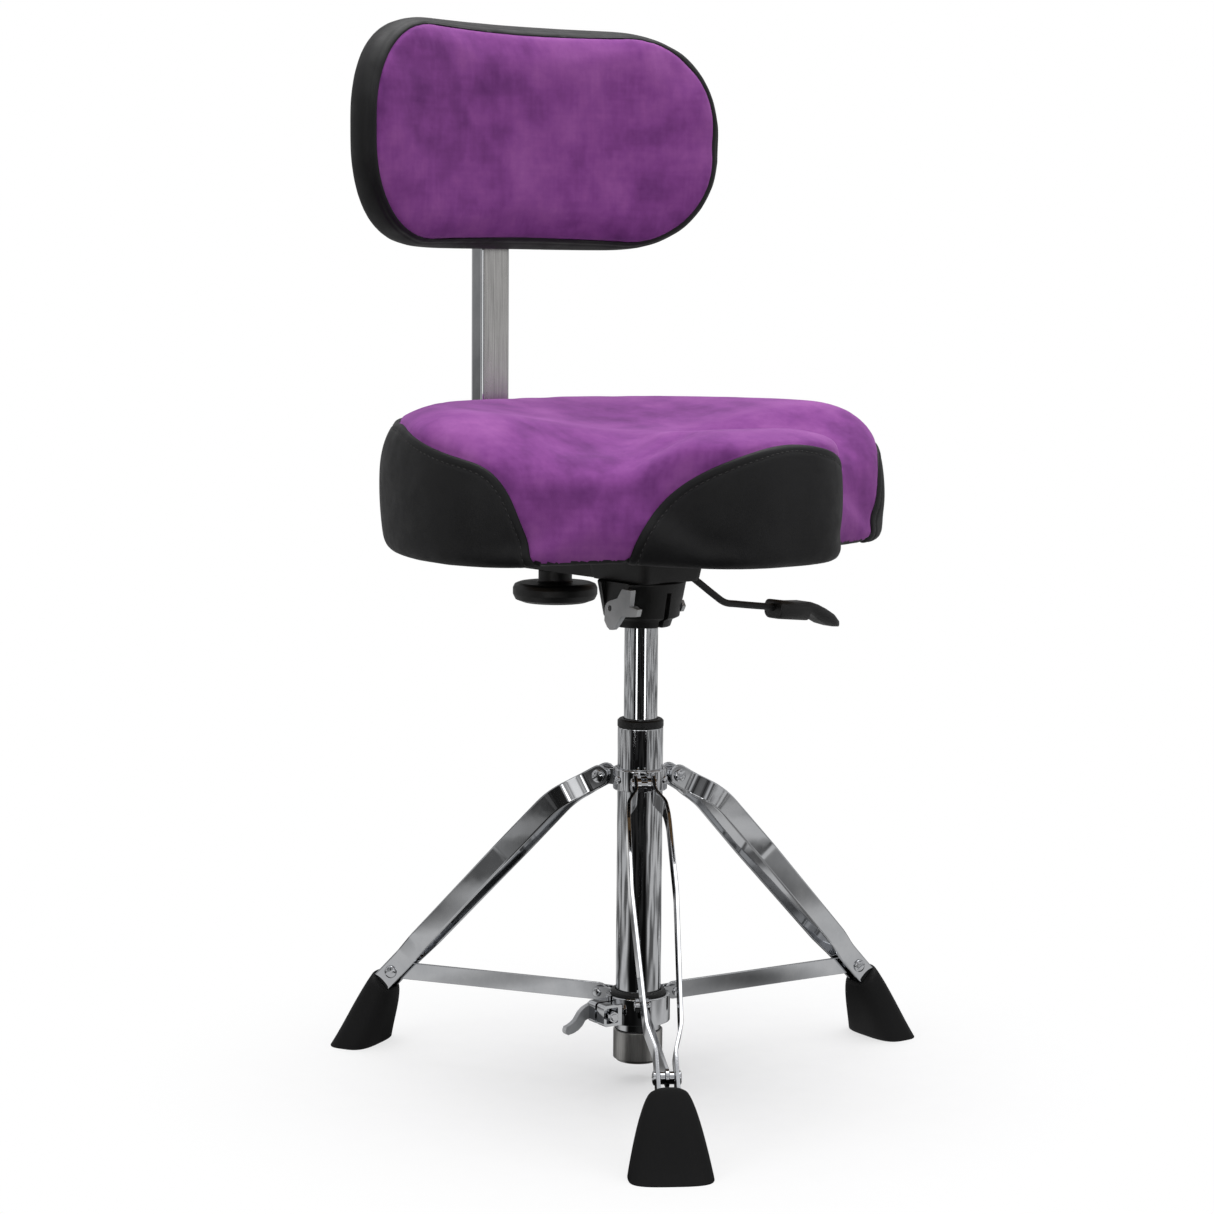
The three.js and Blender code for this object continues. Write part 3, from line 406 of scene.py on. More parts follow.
def raw(name, vertices, faces):
    """A bare mesh object, for a shape that is still to be cut or joined."""
    mesh = bpy.data.meshes.new(name)
    mesh.from_pydata([tuple(v) for v in vertices], [], faces)
    made = bpy.data.objects.new(name, mesh)
    bpy.context.scene.collection.objects.link(made)
    repair(made)
    return made


def loft(rings, ends=True, tied=False):
    """Vertices and faces through rings of equal length; tied joins the last ring to the first."""
    count = len(rings[0])
    vertices = [point for ring in rings for point in ring]
    faces = []
    for row in range(len(rings) if tied else len(rings) - 1):
        here, there = row * count, ((row + 1) % len(rings)) * count
        for i in range(count):
            j = (i + 1) % count
            faces.append((here + i, here + j, there + j, there + i))
    if ends and not tied:
        faces.append(tuple(reversed(range(count))))
        faces.append(tuple(range(len(vertices) - count, len(vertices))))
    return vertices, faces


def rounded(points, radius, steps=4, closed=True):
    """A 2D outline with its corners rounded. radius is one number, or one for each corner."""
    result = []
    count = len(points)
    for i, point in enumerate(points):
        corner = Vector(point)
        reach = radius[i] if isinstance(radius, (list, tuple)) else radius
        if reach <= 0 or (not closed and i in (0, count - 1)):
            result.append(corner)
            continue
        before = Vector(points[i - 1]) - corner
        after = Vector(points[(i + 1) % count]) - corner
        half = before.angle(after) / 2
        back = min(reach / math.tan(half), before.length * 0.49, after.length * 0.49)
        start = corner + before.normalized() * back
        end = corner + after.normalized() * back
        for k in range(steps + 1):
            t = k / steps
            result.append(start * (1 - t) ** 2 + corner * 2 * t * (1 - t) + end * t * t)
    return result


def braced(outline, reach=0.3, long=4):
    """A closed turning profile with a point just inside both ends of each long side.

    The smooth shading of the corners then stays off the sides. The axis itself is left alone.
    """
    result = []
    for here, there in zip(outline, outline[1:] + outline[:1]):
        side = there - here
        result.append(here)
        if side.length > long and max(here.x, there.x) > 0.01:
            step = side.normalized() * reach
            result += [here + step, there - step]
    return result


def rectangle(x0, y0, x1, y1):
    return [(x0, y0), (x1, y0), (x1, y1), (x0, y1)]


def rod(radius, low, high):
    """The turning profile of a plain rod."""
    return rectangle(0, low, radius, high)


def flat_section(half_wide, half_thick, corner, steps=2):
    """A rounded rectangle with a point just inside both ends of each of its flat sides."""
    outline = rounded(rectangle(-half_wide, -half_thick, half_wide, half_thick), corner, steps)
    section = []
    for i, here in enumerate(outline):
        there = outline[(i + 1) % len(outline)]
        section.append(here)
        if i % (steps + 1) == steps:
            section += [here.lerp(there, 0.04), here.lerp(there, 0.96)]
    return section


def turned(profile, at, axis=UP, sides=96, edge=0.6):
    """A turned shape: profile is a closed outline of (radius, height) in mm round axis."""
    side = axis.orthogonal().normalized()
    other = axis.cross(side)
    outline = braced(rounded(profile, [edge if r > 0.01 else 0 for r, _ in profile], 3))
    rings = []
    for r, height in outline:
        ring = []
        for i in range(sides):
            angle = 2 * math.pi * i / sides
            spoke = side * math.cos(angle) + other * math.sin(angle)
            ring.append(at + spoke * max(r, 0) * MM + axis * height * MM)
        rings.append(ring)
    return loft(rings, tied=True)


def placer(origin, right, up, out):
    """Turns lengths (u, v, w) in mm into a point, along three directions from an origin."""

    def place(u, v, w):
        return origin + (right * u + up * v + out * w) * MM

    return place


def prism(outline, thickness, place):
    """A flat outline given thickness; place(u, v, w) puts it in the frame. All in mm."""
    rings = []
    for w in (-thickness / 2, thickness / 2):
        rings.append([place(p[0], p[1], w) for p in outline])
    return loft(rings)


def strip(start, end, width, steps=12):
    """A flat outline with half-round ends between two points."""
    a, b = Vector(start), Vector(end)
    lean = math.atan2(b.y - a.y, b.x - a.x)
    points = []
    for centre, turn in ((b, -math.pi / 2), (a, math.pi / 2)):
        for k in range(steps + 1):
            angle = lean + turn + math.pi * k / steps
            points.append(centre + Vector((math.cos(angle), math.sin(angle))) * width / 2)
    return points


def circle(centre, radius, steps=24):
    return [
        Vector(centre) + Vector((math.cos(a), math.sin(a))) * radius
        for a in (2 * math.pi * k / steps for k in range(steps))
    ]


def sweep(path, section):
    """A tube along path, a list of (point, side, up) frames in metres; section is in mm."""
    rings = []
    for point, side, up in path:
        rings.append([point + side * s[0] * MM + up * s[1] * MM for s in section])
    return loft(rings)


def cut_prism(made, outline, thickness, place, operation="DIFFERENCE"):
    """Cuts a prism out of made, or joins it on."""
    carve(made, raw("prism", *prism(outline, thickness, place)), operation)


def drill(made, at, axis, radius, low, high):
    carve(made, raw("drill", *turned(rod(radius, low, high), at, axis, 40)))


def dome_screw(at, axis, radius, height, slot):
    """A domed fastener head standing on the point at, with a slot across it if slot is not 0."""
    shoulder = 0.35  # share of the height where the dome starts
    profile = [(0, 0), (radius, 0), (radius, height * shoulder)]
    for k in range(1, 6):
        angle = math.pi / 2 * k / 6
        rise = shoulder + (1 - shoulder) * math.sin(angle)
        profile.append((radius * math.cos(angle), height * rise))
    profile.append((0, height))
    made = raw("head", *turned(profile, at, axis, 40, 0.0))
    if slot:
        side = axis.cross(UP).normalized()
        along = (side + axis.cross(side) * 0.6).normalized()
        place = placer(at + axis * height * 1.62 * MM, along, axis.cross(along), axis)
        cut_prism(made, rectangle(-radius * 2, -slot / 2, radius * 2, slot / 2), 2 * height, place)
    return made


def fastener(node, body, at, axis, ends, head, slot, shank, reach, sides=40, edge=0.6):
    """A pin or screw along axis through the point at, with a domed head at each of ends.

    head is a head's (radius, height), shank the radius of the shank and reach its two ends.
    """
    parts = []
    for end in ends:
        way = axis * math.copysign(1, end)
        parts.append(dome_screw(at + axis * end * MM, way, *head, slot))
    parts.append(raw("shank", *turned(rod(shank, *reach), at, axis, sides, edge)))
    dress(merge(f"{node}_finish", parts), "chrome", body, [node])


def merge(name, parts):
    """Joins separate closed shapes into one mesh object."""
    built = bmesh.new()
    for part in parts:
        built.from_mesh(part.data)
        bpy.data.objects.remove(part)
    mesh = bpy.data.meshes.new(name)
    built.to_mesh(mesh)
    built.free()
    made = bpy.data.objects.new(name, mesh)
    bpy.context.scene.collection.objects.link(made)
    return made


def heights(node):
    low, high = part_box(node)
    return low.z / MM, high.z / MM


def width(node):
    low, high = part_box(node)
    return (high.x - low.x) / MM


# ---------------------------------------------------------------- column and gas lift


TUBE_WALL = 1.5
CAP_HOLE, CAP_LIP, CAP_FLOOR = 5.6, 1.6, 6
BUSH_FLANGE = 6.9
ROD_R = 5.4
GLAND = 10  # how deep the gas cylinder's two ends are


def build_column():
    tube_r = width("column_tube") / 2
    low, high = heights("column_tube")
    tube = rectangle(tube_r - TUBE_WALL, low, tube_r, high)
    piece("column_tube_finish", *turned(tube, AXIS), "chrome", "column", ["column_tube"])

    cap_r = width("column_end_cap") / 2
    low, high = heights("column_end_cap")
    cap = [
        (CAP_HOLE, low), (cap_r - 2.5, low), (cap_r - 2.5, low + 1.2), (cap_r, low + 2.4),
        (cap_r, high - 1.4), (cap_r - CAP_LIP, high), (cap_r - CAP_LIP, low + CAP_FLOOR),
        (CAP_HOLE, low + CAP_FLOOR),
    ]
    piece("column_end_cap_finish", *turned(cap, AXIS, edge=0.5), "brushed_steel", "column",
          ["column_end_cap"])

    outer = width("column_top_bush") / 2
    low, high = heights("column_top_bush")
    cylinder_r = width("gas_lift_cylinder") / 2
    bore = cylinder_r + 0.4
    sleeve = tube_r - TUBE_WALL - SNUG
    flange = high - BUSH_FLANGE
    bush = [
        (bore, low), (sleeve, low), (sleeve, flange), (outer, flange), (outer, high - 1.6),
        (outer - 1.6, high), (bore, high),
    ]
    piece("column_top_bush_finish", *turned(bush, AXIS, edge=0.8), "black_plastic", "column",
          ["column_top_bush"])

    low, high = heights("gas_lift_cylinder")
    cylinder = [
        (ROD_R, low), (cylinder_r, low), (cylinder_r, high), (0, high), (0, high - GLAND),
        (ROD_R, low + GLAND),
    ]
    piece("gas_lift_cylinder_finish", *turned(cylinder, AXIS), "chrome", "seat", ["gas_lift_cylinder"])


# ---------------------------------------------------------------- legs


class Leg:
    """One leg's own axes: u out from the column, v up, w across, all in mm."""

    def __init__(self, name):
        self.name = name
        self.hinge = middle(f"{name}_hinge_pin")
        self.bolt = middle(f"{name}_foot_bolt", f"{name}_foot_nut")
        out = self.bolt - AXIS
        self.out = Vector((out.x, out.y, 0)).normalized()
        self.across = UP.cross(self.out)
        self.place = placer(AXIS, self.out, UP, self.across)
        self.bolt_middle = self.place(*self.flat(self.bolt), 0)

    def flat(self, point):
        """(u, v) of a point in the frame, in mm."""
        return Vector(((point - AXIS).dot(self.out) / MM, point.z / MM))


BAR_WIDTH = 18
BAR_THICK = 3
BAR_EDGE = 0.7  # radius of a bar's long edges
BAR_BEND = Vector((73.5, 236))  # where a bar turns down, out from the column and up
BAR_BEND_REACH = 13
BAR_TAIL = 21
OFFSET_ENDS, OFFSET_TOP, OFFSET_MIDDLE, OFFSET_LOW = 7.5, 15, 18, 13.5
BAR_FACE = OFFSET_ENDS + BAR_THICK / 2 + SNUG  # where the heads of a leg's pins stand, from its middle
LEG_PIN_R = 3.4
LEG_PIN_HEAD = (5.6, 2.4)


def bar_line(leg):
    """Turns a distance along the bar into (u, v) and the direction there."""
    hinge, bolt = leg.flat(leg.hinge), leg.flat(leg.bolt)
    upper, lower = BAR_BEND - hinge, bolt - BAR_BEND
    first, second = upper.normalized(), lower.normalized()

    def at(along):
        over = along - upper.length
        if abs(over) >= BAR_BEND_REACH:
            way = first if over < 0 else second
            return BAR_BEND + way * over, way
        t = (over + BAR_BEND_REACH) / (2 * BAR_BEND_REACH)
        start = BAR_BEND - first * BAR_BEND_REACH
        end = BAR_BEND + second * BAR_BEND_REACH
        point = start * (1 - t) ** 2 + BAR_BEND * 2 * t * (1 - t) + end * t * t
        return point, first.lerp(second, t).normalized()

    return at, upper.length, upper.length + lower.length


def bar_offset(along, bend, end):
    """How far the middle of a bar stands from the leg's middle plane."""
    stations = [
        (-20, OFFSET_ENDS), (15, OFFSET_ENDS), (29, OFFSET_TOP),
        (bend, mix(OFFSET_TOP, OFFSET_MIDDLE, 0.5)), (115, OFFSET_MIDDLE),
        (end - 42, OFFSET_LOW), (end - 20, OFFSET_ENDS), (end + 40, OFFSET_ENDS),
    ]
    ease = 3.0  # each change of slope is spread over this length either side
    samples = [along + ease * k / 2 for k in range(-2, 3)]
    total = 0
    for here in samples:
        for (s0, w0), (s1, w1) in zip(stations, stations[1:]):
            if s0 <= here <= s1:
                total += mix(w0, w1, (here - s0) / (s1 - s0))
                break
    return total / len(samples)


def build_leg_bar(leg, side, label):
    at, bend, end = bar_line(leg)
    low, high = -BAR_WIDTH / 2, end + BAR_TAIL
    steps = 150
    rings = []
    for k in range(steps + 1):
        along = mix(low, high, k / steps)
        (u, v), way = at(along)
        # The hinge end is half round: the strip narrows to a point there.
        reach = min(1, max(0, (along - low) / (BAR_WIDTH / 2)))
        half = BAR_WIDTH / 2 * math.sqrt(max(0.0, 1 - (1 - reach) ** 2))
        half = max(half, 0.4)
        offset = side * bar_offset(along, bend, end)
        section = flat_section(half, BAR_THICK / 2, min(BAR_EDGE, half * 0.4))
        rings.append([
            leg.place(u - s[0] * way.y, v + s[0] * way.x, offset + s[1]) for s in section
        ])
    name = f"{leg.name}_bar_{label}"
    bar = raw(f"{name}_finish", *loft(rings))
    for pin, radius in ((leg.hinge, LEG_PIN_R + 0.5), (leg.bolt, LEG_PIN_R + 0.1)):
        drill(bar, pin, leg.across, radius, -13, 13)
    dress(bar, "chrome", leg.name, [name], crease=40)


def build_leg_fasteners(leg):
    fastener(f"{leg.name}_hinge_pin", "column", leg.hinge, leg.across, (-BAR_FACE, BAR_FACE),
             LEG_PIN_HEAD, slot=1.1, shank=LEG_PIN_R, reach=(-BAR_FACE, BAR_FACE))
    for side, label in ((-1, "foot_bolt"), (1, "foot_nut")):
        reach = sorted((side * (BAR_FACE - BAR_THICK), side * (BAR_FACE + 0.2)))
        fastener(f"{leg.name}_{label}", leg.name, leg.bolt, leg.across, (side * BAR_FACE,),
                 LEG_PIN_HEAD, slot=1.3, shank=LEG_PIN_R, reach=reach, edge=0.1)


BRACE_WIDTH, BRACE_THICK = 15, 3
BRACE_BOSS_R, BRACE_BOSS = 5, 11.2
RIVET_R = 2.5
RIVET_HEAD = (4, 1.6)
EAR_THICK = 3
EAR_OFFSET = 4.1
RIVET_FACE = EAR_OFFSET + EAR_THICK / 2 + SNUG


def build_brace(leg):
    rivet_at = middle(f"{leg.name}_brace_rivet")
    rivet, bolt = leg.flat(rivet_at), leg.flat(leg.bolt)
    bar = raw(f"{leg.name}_brace_finish", *prism(strip(rivet, bolt, BRACE_WIDTH), BRACE_THICK, leg.place))
    cut_prism(bar, circle(rivet, RIVET_R + 0.4), 9, leg.place)
    cut_prism(bar, circle(bolt, BRACE_BOSS_R), BRACE_BOSS, leg.place, "UNION")
    dress(bar, "chrome", f"{leg.name}_brace", [f"{leg.name}_brace"])
    soften(bar, 0.5)
    fastener(f"{leg.name}_brace_rivet", "lower_collar", rivet_at, leg.across, (-RIVET_FACE, RIVET_FACE),
             RIVET_HEAD, slot=0, shank=RIVET_R, reach=(-RIVET_FACE, RIVET_FACE), sides=32)


FOOT_BASE = Vector((20, 33))  # half size of the sole, along the leg and across
FOOT_TOP = Vector((12.5, 13.6))
FOOT_RISE = 14  # the collar's face stands this far down the leg from the foot bolt


def build_foot(leg):
    """A boot lofted from the sole up to a lipped collar square to the leg, with a socket."""
    at, _, end = bar_line(leg)
    bolt = leg.flat(leg.bolt)
    _, down = at(end)
    top = bolt + down * FOOT_RISE
    low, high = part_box(f"{leg.name}_foot")
    sole = leg.flat((low + high) / 2)
    sole.x = foot_reach(leg)
    lean = math.pi / 2 + math.atan2(down.y, down.x)
    sides = 64
    rows = 26

    def ring(t, grow=0.0):
        """The outline at height t of 0 to 1; grow widens it."""
        reach = mix(FOOT_BASE.x, FOOT_TOP.x, t ** 0.8) + grow
        wide = mix(FOOT_TOP.y, FOOT_BASE.y, (1 - t) ** 0.6) + grow
        power = mix(0.62, 0.8, t)
        tilt = lean * t * t
        points = []
        for i in range(sides):
            angle = 2 * math.pi * i / sides
            c, s = math.cos(angle), math.sin(angle)
            x = math.copysign(abs(c) ** power, c) * reach
            y = math.copysign(abs(s) ** power, s) * wide
            u = mix(sole.x, top.x, t) + x * math.cos(tilt)
            v = top.y * t + x * math.sin(tilt)
            points.append(leg.place(u, max(v, 0), y))
        return points

    rings = [ring(0, -2.0), ring(0, -0.7), ring(0.012, -0.1)]
    for k in range(1, rows + 1):
        rings.append(ring(0.03 + 0.97 * (k / rows) * 0.975))
    rings += [ring(0.985, -0.2), ring(1, -0.9), ring(1, -1.8)]
    boot = raw(f"{leg.name}_foot_finish", *loft(rings))

    along = leg.out * down.x + UP * down.y
    over = UP * down.x - leg.out * down.y
    half = BAR_WIDTH / 2 + 0.3
    socket = rounded(rectangle(FOOT_RISE - 3, -half, BAR_TAIL + 2, half), 1.2)
    gap = OFFSET_ENDS + BAR_THICK / 2 + 0.4
    cut_prism(boot, socket, 2 * gap, placer(leg.bolt_middle, along, over, leg.across))
    dress(boot, "black_rubber", leg.name, [f"{leg.name}_foot"], crease=50)
    soften(boot, 0.7)


def foot_reach(leg):
    """How far out the middle of the sole is, from the lowest points of the CAD foot."""
    mesh = frame["nodes"][f"{leg.name}_foot"].data
    sole = [leg.flat(v.co).x for v in mesh.vertices if v.co.z < 0.5 * MM]
    return (min(sole) + max(sole)) / 2


def build_legs():
    for name in LEGS:
        leg = Leg(name)
        build_leg_bar(leg, -1, "right")
        build_leg_bar(leg, 1, "left")
        build_leg_fasteners(leg)
        build_brace(leg)
        build_foot(leg)


# ---------------------------------------------------------------- collars


COLLAR_WALL = 3.5
COLLAR_HALF = 9  # half the upper collar's height
SET_SCREW_R = 2.6
SET_SCREW_HEAD = (3.6, 2.2)


def ears(collar, pins, root, height, legs):
    """Joins a pair of rounded plates to a collar for each leg's cross pin."""
    for leg, pin in zip(legs, pins):
        spot = leg.flat(middle(pin))
        for side in (-1, 1):
            place = placer(AXIS + leg.across * side * EAR_OFFSET * MM, leg.out, UP, leg.across)
            cut_prism(collar, strip((root, spot.y), spot, height), EAR_THICK, place, "UNION")


def build_collars():
    legs = [Leg(name) for name in LEGS]
    bore = width("column_tube") / 2 + SNUG
    outer = bore + COLLAR_WALL
    middle_z = middle("upper_collar_screw_1").z / MM
    ring = rectangle(bore, middle_z - COLLAR_HALF, outer, middle_z + COLLAR_HALF)
    collar = raw("upper_collar_finish", *turned(ring, AXIS, edge=1.0))
    ears(collar, [f"{leg.name}_hinge_pin" for leg in legs], outer - 1, 13, legs)
    dress(collar, "chrome", "column", ["upper_collar"])
    soften(collar, 0.6)

    for index in (1, 2, 3):
        node = f"upper_collar_screw_{index}"
        centre = middle(node)
        way = centre - AXIS
        way = Vector((way.x, way.y, 0)).normalized()
        face = AXIS + way * (outer - 0.1) * MM + UP * centre.z
        fastener(node, "column", face, way, (0,), SET_SCREW_HEAD, slot=0.9, shank=SET_SCREW_R,
                 reach=(-COLLAR_WALL, 0.2), sides=32)

    build_lower_collar(legs)


BAND_WALL = 3.6
BAND_HEIGHT = 20
LUG_SPLIT, LUG_WIDTH, LUG_REACH, LUG_HALF = 1.5, 11, 42, 9
LUG_WALL = 2.4


def build_lower_collar(legs):
    bush_r = width("lower_collar_bush") / 2
    bore = width("column_tube") / 2 + 0.4
    low, high = heights("lower_collar_bush")
    bush = [(bore, low), (bush_r, low), (bush_r, high - 1.5), (bush_r - 1.5, high), (bore, high)]
    piece("lower_collar_bush_finish", *turned(bush, AXIS, edge=0.8), "black_plastic",
          "lower_collar", ["lower_collar_bush"])

    inner = bush_r + SNUG
    outer = inner + BAND_WALL
    profile = rectangle(inner, low, outer, low + BAND_HEIGHT + 3)
    band = raw("lower_collar_band_finish", *turned(profile, AXIS, edge=0.9))
    ears(band, [f"{leg.name}_brace_rivet" for leg in legs], outer - 1, 10, legs)

    # The clamp's two lugs are the band's own ends, folded into open boxes round the stud.
    out = middle("clamp_stud") - AXIS
    out = Vector((out.x, out.y, 0)).normalized()
    across = UP.cross(out)
    origin = AXIS + UP * (low + BAND_HEIGHT / 2) * MM
    lug = rounded(rectangle(inner + 1, -LUG_HALF, LUG_REACH, LUG_HALF), [0, 3, 3, 0])
    half = LUG_HALF - LUG_WALL
    window = rounded(rectangle(outer + LUG_WALL / 2, -half, LUG_REACH - LUG_WALL, half), 1.2)
    for side in (-1, 1):
        way = across * side
        start = origin + way * (LUG_SPLIT + LUG_WIDTH / 2) * MM
        cut_prism(band, lug, LUG_WIDTH, placer(start, out, UP, way), "UNION")
        cut_prism(band, window, LUG_WIDTH, placer(start + way * LUG_WALL * MM, out, UP, way))
    gap = rectangle(bore - 4, -14, LUG_REACH + 5, 16)
    cut_prism(band, gap, 2 * LUG_SPLIT, placer(origin, out, UP, across))
    dress(band, "chrome", "lower_collar", ["lower_collar_band"])
    soften(band, 0.5)


# ---------------------------------------------------------------- hub and release gear


HUB_TAPER = 5
HUB_SLOT = 5
HUB_STUD_HOLE, HUB_STUD_POCKET = 3.6, 7
LEVER_CLEAR = 0.4
HOUSING_CORNER = 8
HOUSING_OPENING_R = 7
LEVER_ROD_R = 3
KNOB_NECK_R, KNOB_STUD_R = 14.5, 4


def build_hub():
    low, high = heights("seat_hub")
    first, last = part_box("seat_hub")
    top_r = (last.y - first.y) / 2 / MM
    bottom_r = top_r - HUB_TAPER
    bore = width("gas_lift_cylinder") / 2 + SNUG
    profile = [
        (bore, low), (bottom_r - 8, low), (bottom_r - 6, low + 6), (bottom_r - 0.5, low + 8.5),
        (top_r, high), (bore, high),
    ]
    hub = raw("seat_hub_finish", *turned(profile, AXIS, edge=1.4))
    cut_prism(hub, rectangle(-50, low - 2, 0, high - 8), HUB_SLOT, placer(AXIS, BACK, UP, RIGHT))

    # A flat on one side for the cam lever, and a pocket on the other for the stud's head.
    deep = 40
    flat_x = (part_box("hub_lever")[1].x - AXIS.x) / MM + LEVER_CLEAR
    beside = placer(AXIS + RIGHT * (flat_x - deep / 2) * MM, BACK, UP, RIGHT)
    cut_prism(hub, rectangle(-50, low - 2, 10, high + 2), deep, beside)
    stud = middle("hub_stud")
    head_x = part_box("hub_stud")[1].x
    pocket = placer(Vector((head_x + 6 * MM, stud.y, stud.z)), BACK, UP, RIGHT)
    cut_prism(hub, circle((0, 0), HUB_STUD_POCKET, 32), 20, pocket)
    drill(hub, Vector((AXIS.x, stud.y, stud.z)), RIGHT, HUB_STUD_HOLE, -60, 60)
    dress(hub, "black_plastic", "seat", ["seat_hub"])
    soften(hub, 0.9, 3)
    build_housing()


def build_housing():
    low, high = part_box("release_housing")
    centre = (low + high) / 2
    rings = []
    for z, share in ((low.z, 0.9), (low.z + 3 * MM, 0.93), (high.z - 4 * MM, 1), (high.z, 1)):
        half = (high - low) / 2 * share
        outline = rounded(rectangle(-half.x, -half.y, half.x, half.y), HOUSING_CORNER * MM, 5)
        rings.append([Vector((centre.x + p.x, centre.y + p.y, z)) for p in outline])
    box = raw("release_housing_finish", *loft(rings))
    rod_y = middle("height_lever_rod").y
    rod_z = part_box("height_lever_rod")[1].z - LEVER_ROD_R * MM
    drill(box, Vector((AXIS.x, rod_y, rod_z)), RIGHT, HOUSING_OPENING_R, 12, 60)
    dress(box, "black_steel", "seat", ["release_housing"])
    soften(box, 1.2, 3)


def build_knob():
    low, high = heights("backrest_knob")
    radius = width("backrest_knob") / 2
    centre = middle("backrest_knob")
    centre.z = 0
    neck_top = heights("backrest_channel")[0] - 0.4
    profile = [
        (0, low + 1.5), (radius * 0.45, low + 0.8), (radius - 9, low), (radius - 2.2, low + 2.5),
        (radius, low + 7), (radius, low + 12.5), (radius - 1.5, low + 15.6), (radius - 5, low + 17),
        (KNOB_NECK_R + 1.5, low + 17.4), (KNOB_NECK_R, low + 19), (KNOB_NECK_R, neck_top),
        (KNOB_STUD_R, neck_top), (KNOB_STUD_R, high), (0, high),
    ]
    piece("backrest_knob_finish", *turned(profile, centre, edge=1.6), "black_plastic",
          "backrest_knob", ["backrest_knob"], crease=50)


# The lever's rod: how far out each point of its line is, and how far down.
LEVER_LINE = [
    (0, 0), (17, 0), (25, 1.6), (33, 7), (49, 17.6), (66, 29), (78, 36), (92, 38.4), (118, 41.8),
    (145, 45),
]
GRIP_SOCKET = [(-4, 43.4), (13, 45.4)]  # the same for the rod's end, out from the grip's start


def build_height_lever():
    low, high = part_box("height_lever_rod")
    y = (low.y + high.y) / 2
    top = high.z - LEVER_ROD_R * MM
    points = [Vector((low.x + out * MM, y, top - drop * MM)) for out, drop in LEVER_LINE]
    steps = 60
    path = []
    for k in range(steps + 1):
        point, way = spline(points, k / steps)
        path.append((point, BACK, way.cross(BACK).normalized()))
    piece("height_lever_rod_finish", *sweep(path, circle((0, 0), LEVER_ROD_R, 20)), "black_steel",
          "height_lever", ["height_lever_rod"], crease=50)

    low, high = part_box("height_lever_grip")
    y = (low.y + high.y) / 2
    length = (high.x - low.x) / MM
    half = (high.y - low.y) / 2 / MM
    drop = (high.z - low.z) / MM
    # Sections along the grip: distance, upper height, lower height, half width.
    stations = [
        (0, drop - 1.6, drop - 15.4, half * 0.9),
        (1.4, drop - 0.2, drop - 16.8, half * 0.98),
        (18, drop - 2.6, drop - 18.6, half),
        (33, drop - 3.4, drop - 20.2, half),
        (34.2, drop - 3.6, drop - 15.4, half * 0.97),
        (38, drop - 4.2, drop - 14.8, half * 0.94),
        (46, drop - 6.6, drop - 20.0, half * 0.92),
        (56, drop - 11.0, drop - 25.2, half * 0.9),
        (66, drop - 16.6, drop - 28.0, half * 0.82),
        (length - 3.5, 6.2, 0.4, half * 0.62),
        (length - 0.6, 4.8, 1.2, half * 0.36),
    ]
    rings = []
    for s, above, under, wide in stations:
        section = rounded(rectangle(-wide, under, wide, above), max(0.2, (above - under) * 0.38), 4)
        rings.append([Vector((low.x + s * MM, y + p[0] * MM, low.z + p[1] * MM)) for p in section])
    grip = raw("height_lever_grip_finish", *loft(rings))
    line = [(Vector((low.x + out * MM, y, top - down * MM)), BACK, UP) for out, down in GRIP_SOCKET]
    carve(grip, raw("socket", *sweep(line, circle((0, 0), LEVER_ROD_R + 0.3, 20))))
    dress(grip, "black_plastic", "height_lever", ["height_lever_grip"], crease=50)


def spline(points, share):
    """A point and direction at share of the way along a Catmull-Rom line through points."""
    spans = len(points) - 1
    place = min(share * spans, spans - 1e-6)
    i = int(place)
    t = place - i
    p0 = points[max(i - 1, 0)]
    p1, p2 = points[i], points[i + 1]
    p3 = points[min(i + 2, spans)]
    point = 0.5 * (2 * p1 + (p2 - p0) * t + (2 * p0 - 5 * p1 + 4 * p2 - p3) * t * t
                   + (3 * p1 - p0 - 3 * p2 + p3) * t ** 3)
    way = 0.5 * ((p2 - p0) + (2 * p0 - 5 * p1 + 4 * p2 - p3) * 2 * t
                 + (3 * p1 - p0 - 3 * p2 + p3) * 3 * t * t)
    return point, way.normalized()


# ---------------------------------------------------------------- backrest bar


POST_DEEP = 17
POST_BEND = 30
POST_CORNER = 2.6
POST_SCREW_R = 2.4
POST_SCREW_HEAD = (5, 2.6)


def build_backrest_bar():
    low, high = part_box("backrest_bar")
    half_deep = POST_DEEP / 2 * MM
    bend = POST_BEND * MM
    run_z = low.z + half_deep
    back_y = high.y - half_deep
    x = (low.x + high.x) / 2
    path = [(Vector((x, low.y + 0.4 * MM, run_z)), RIGHT, UP)]
    turns = 16
    for k in range(turns + 1):
        angle = math.pi / 2 * k / turns
        sine, cosine = math.sin(angle), math.cos(angle)
        point = Vector((x, back_y - bend + bend * sine, run_z + bend - bend * cosine))
        path.append((point, RIGHT, Vector((0, -sine, cosine))))
    path.append((Vector((x, back_y, high.z)), RIGHT, -BACK))
    section = flat_section(width("backrest_bar") / 2, POST_DEEP / 2, POST_CORNER, 5)
    made = piece("backrest_bar_finish", *sweep(path, section), "chrome", "backrest", ["backrest_bar"])
    made.data.materials.append(FINISH["satin_steel"])
    for face in made.data.polygons:
        if abs(face.normal.x) < 0.3 and face.area > 1e-5:
            face.material_index = 1

    for node in ("backrest_screw_1", "backrest_screw_2"):
        low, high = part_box(node)
        centre = middle(node)
        face = Vector((centre.x, high.y - 2.9 * MM, centre.z))
        length = (face.y - low.y) / MM
        fastener(node, "backrest", face, BACK, (0,), POST_SCREW_HEAD, slot=1.2, shank=POST_SCREW_R,
                 reach=(-length, 0.3), sides=32)


# ---------------------------------------------------------------- cushions


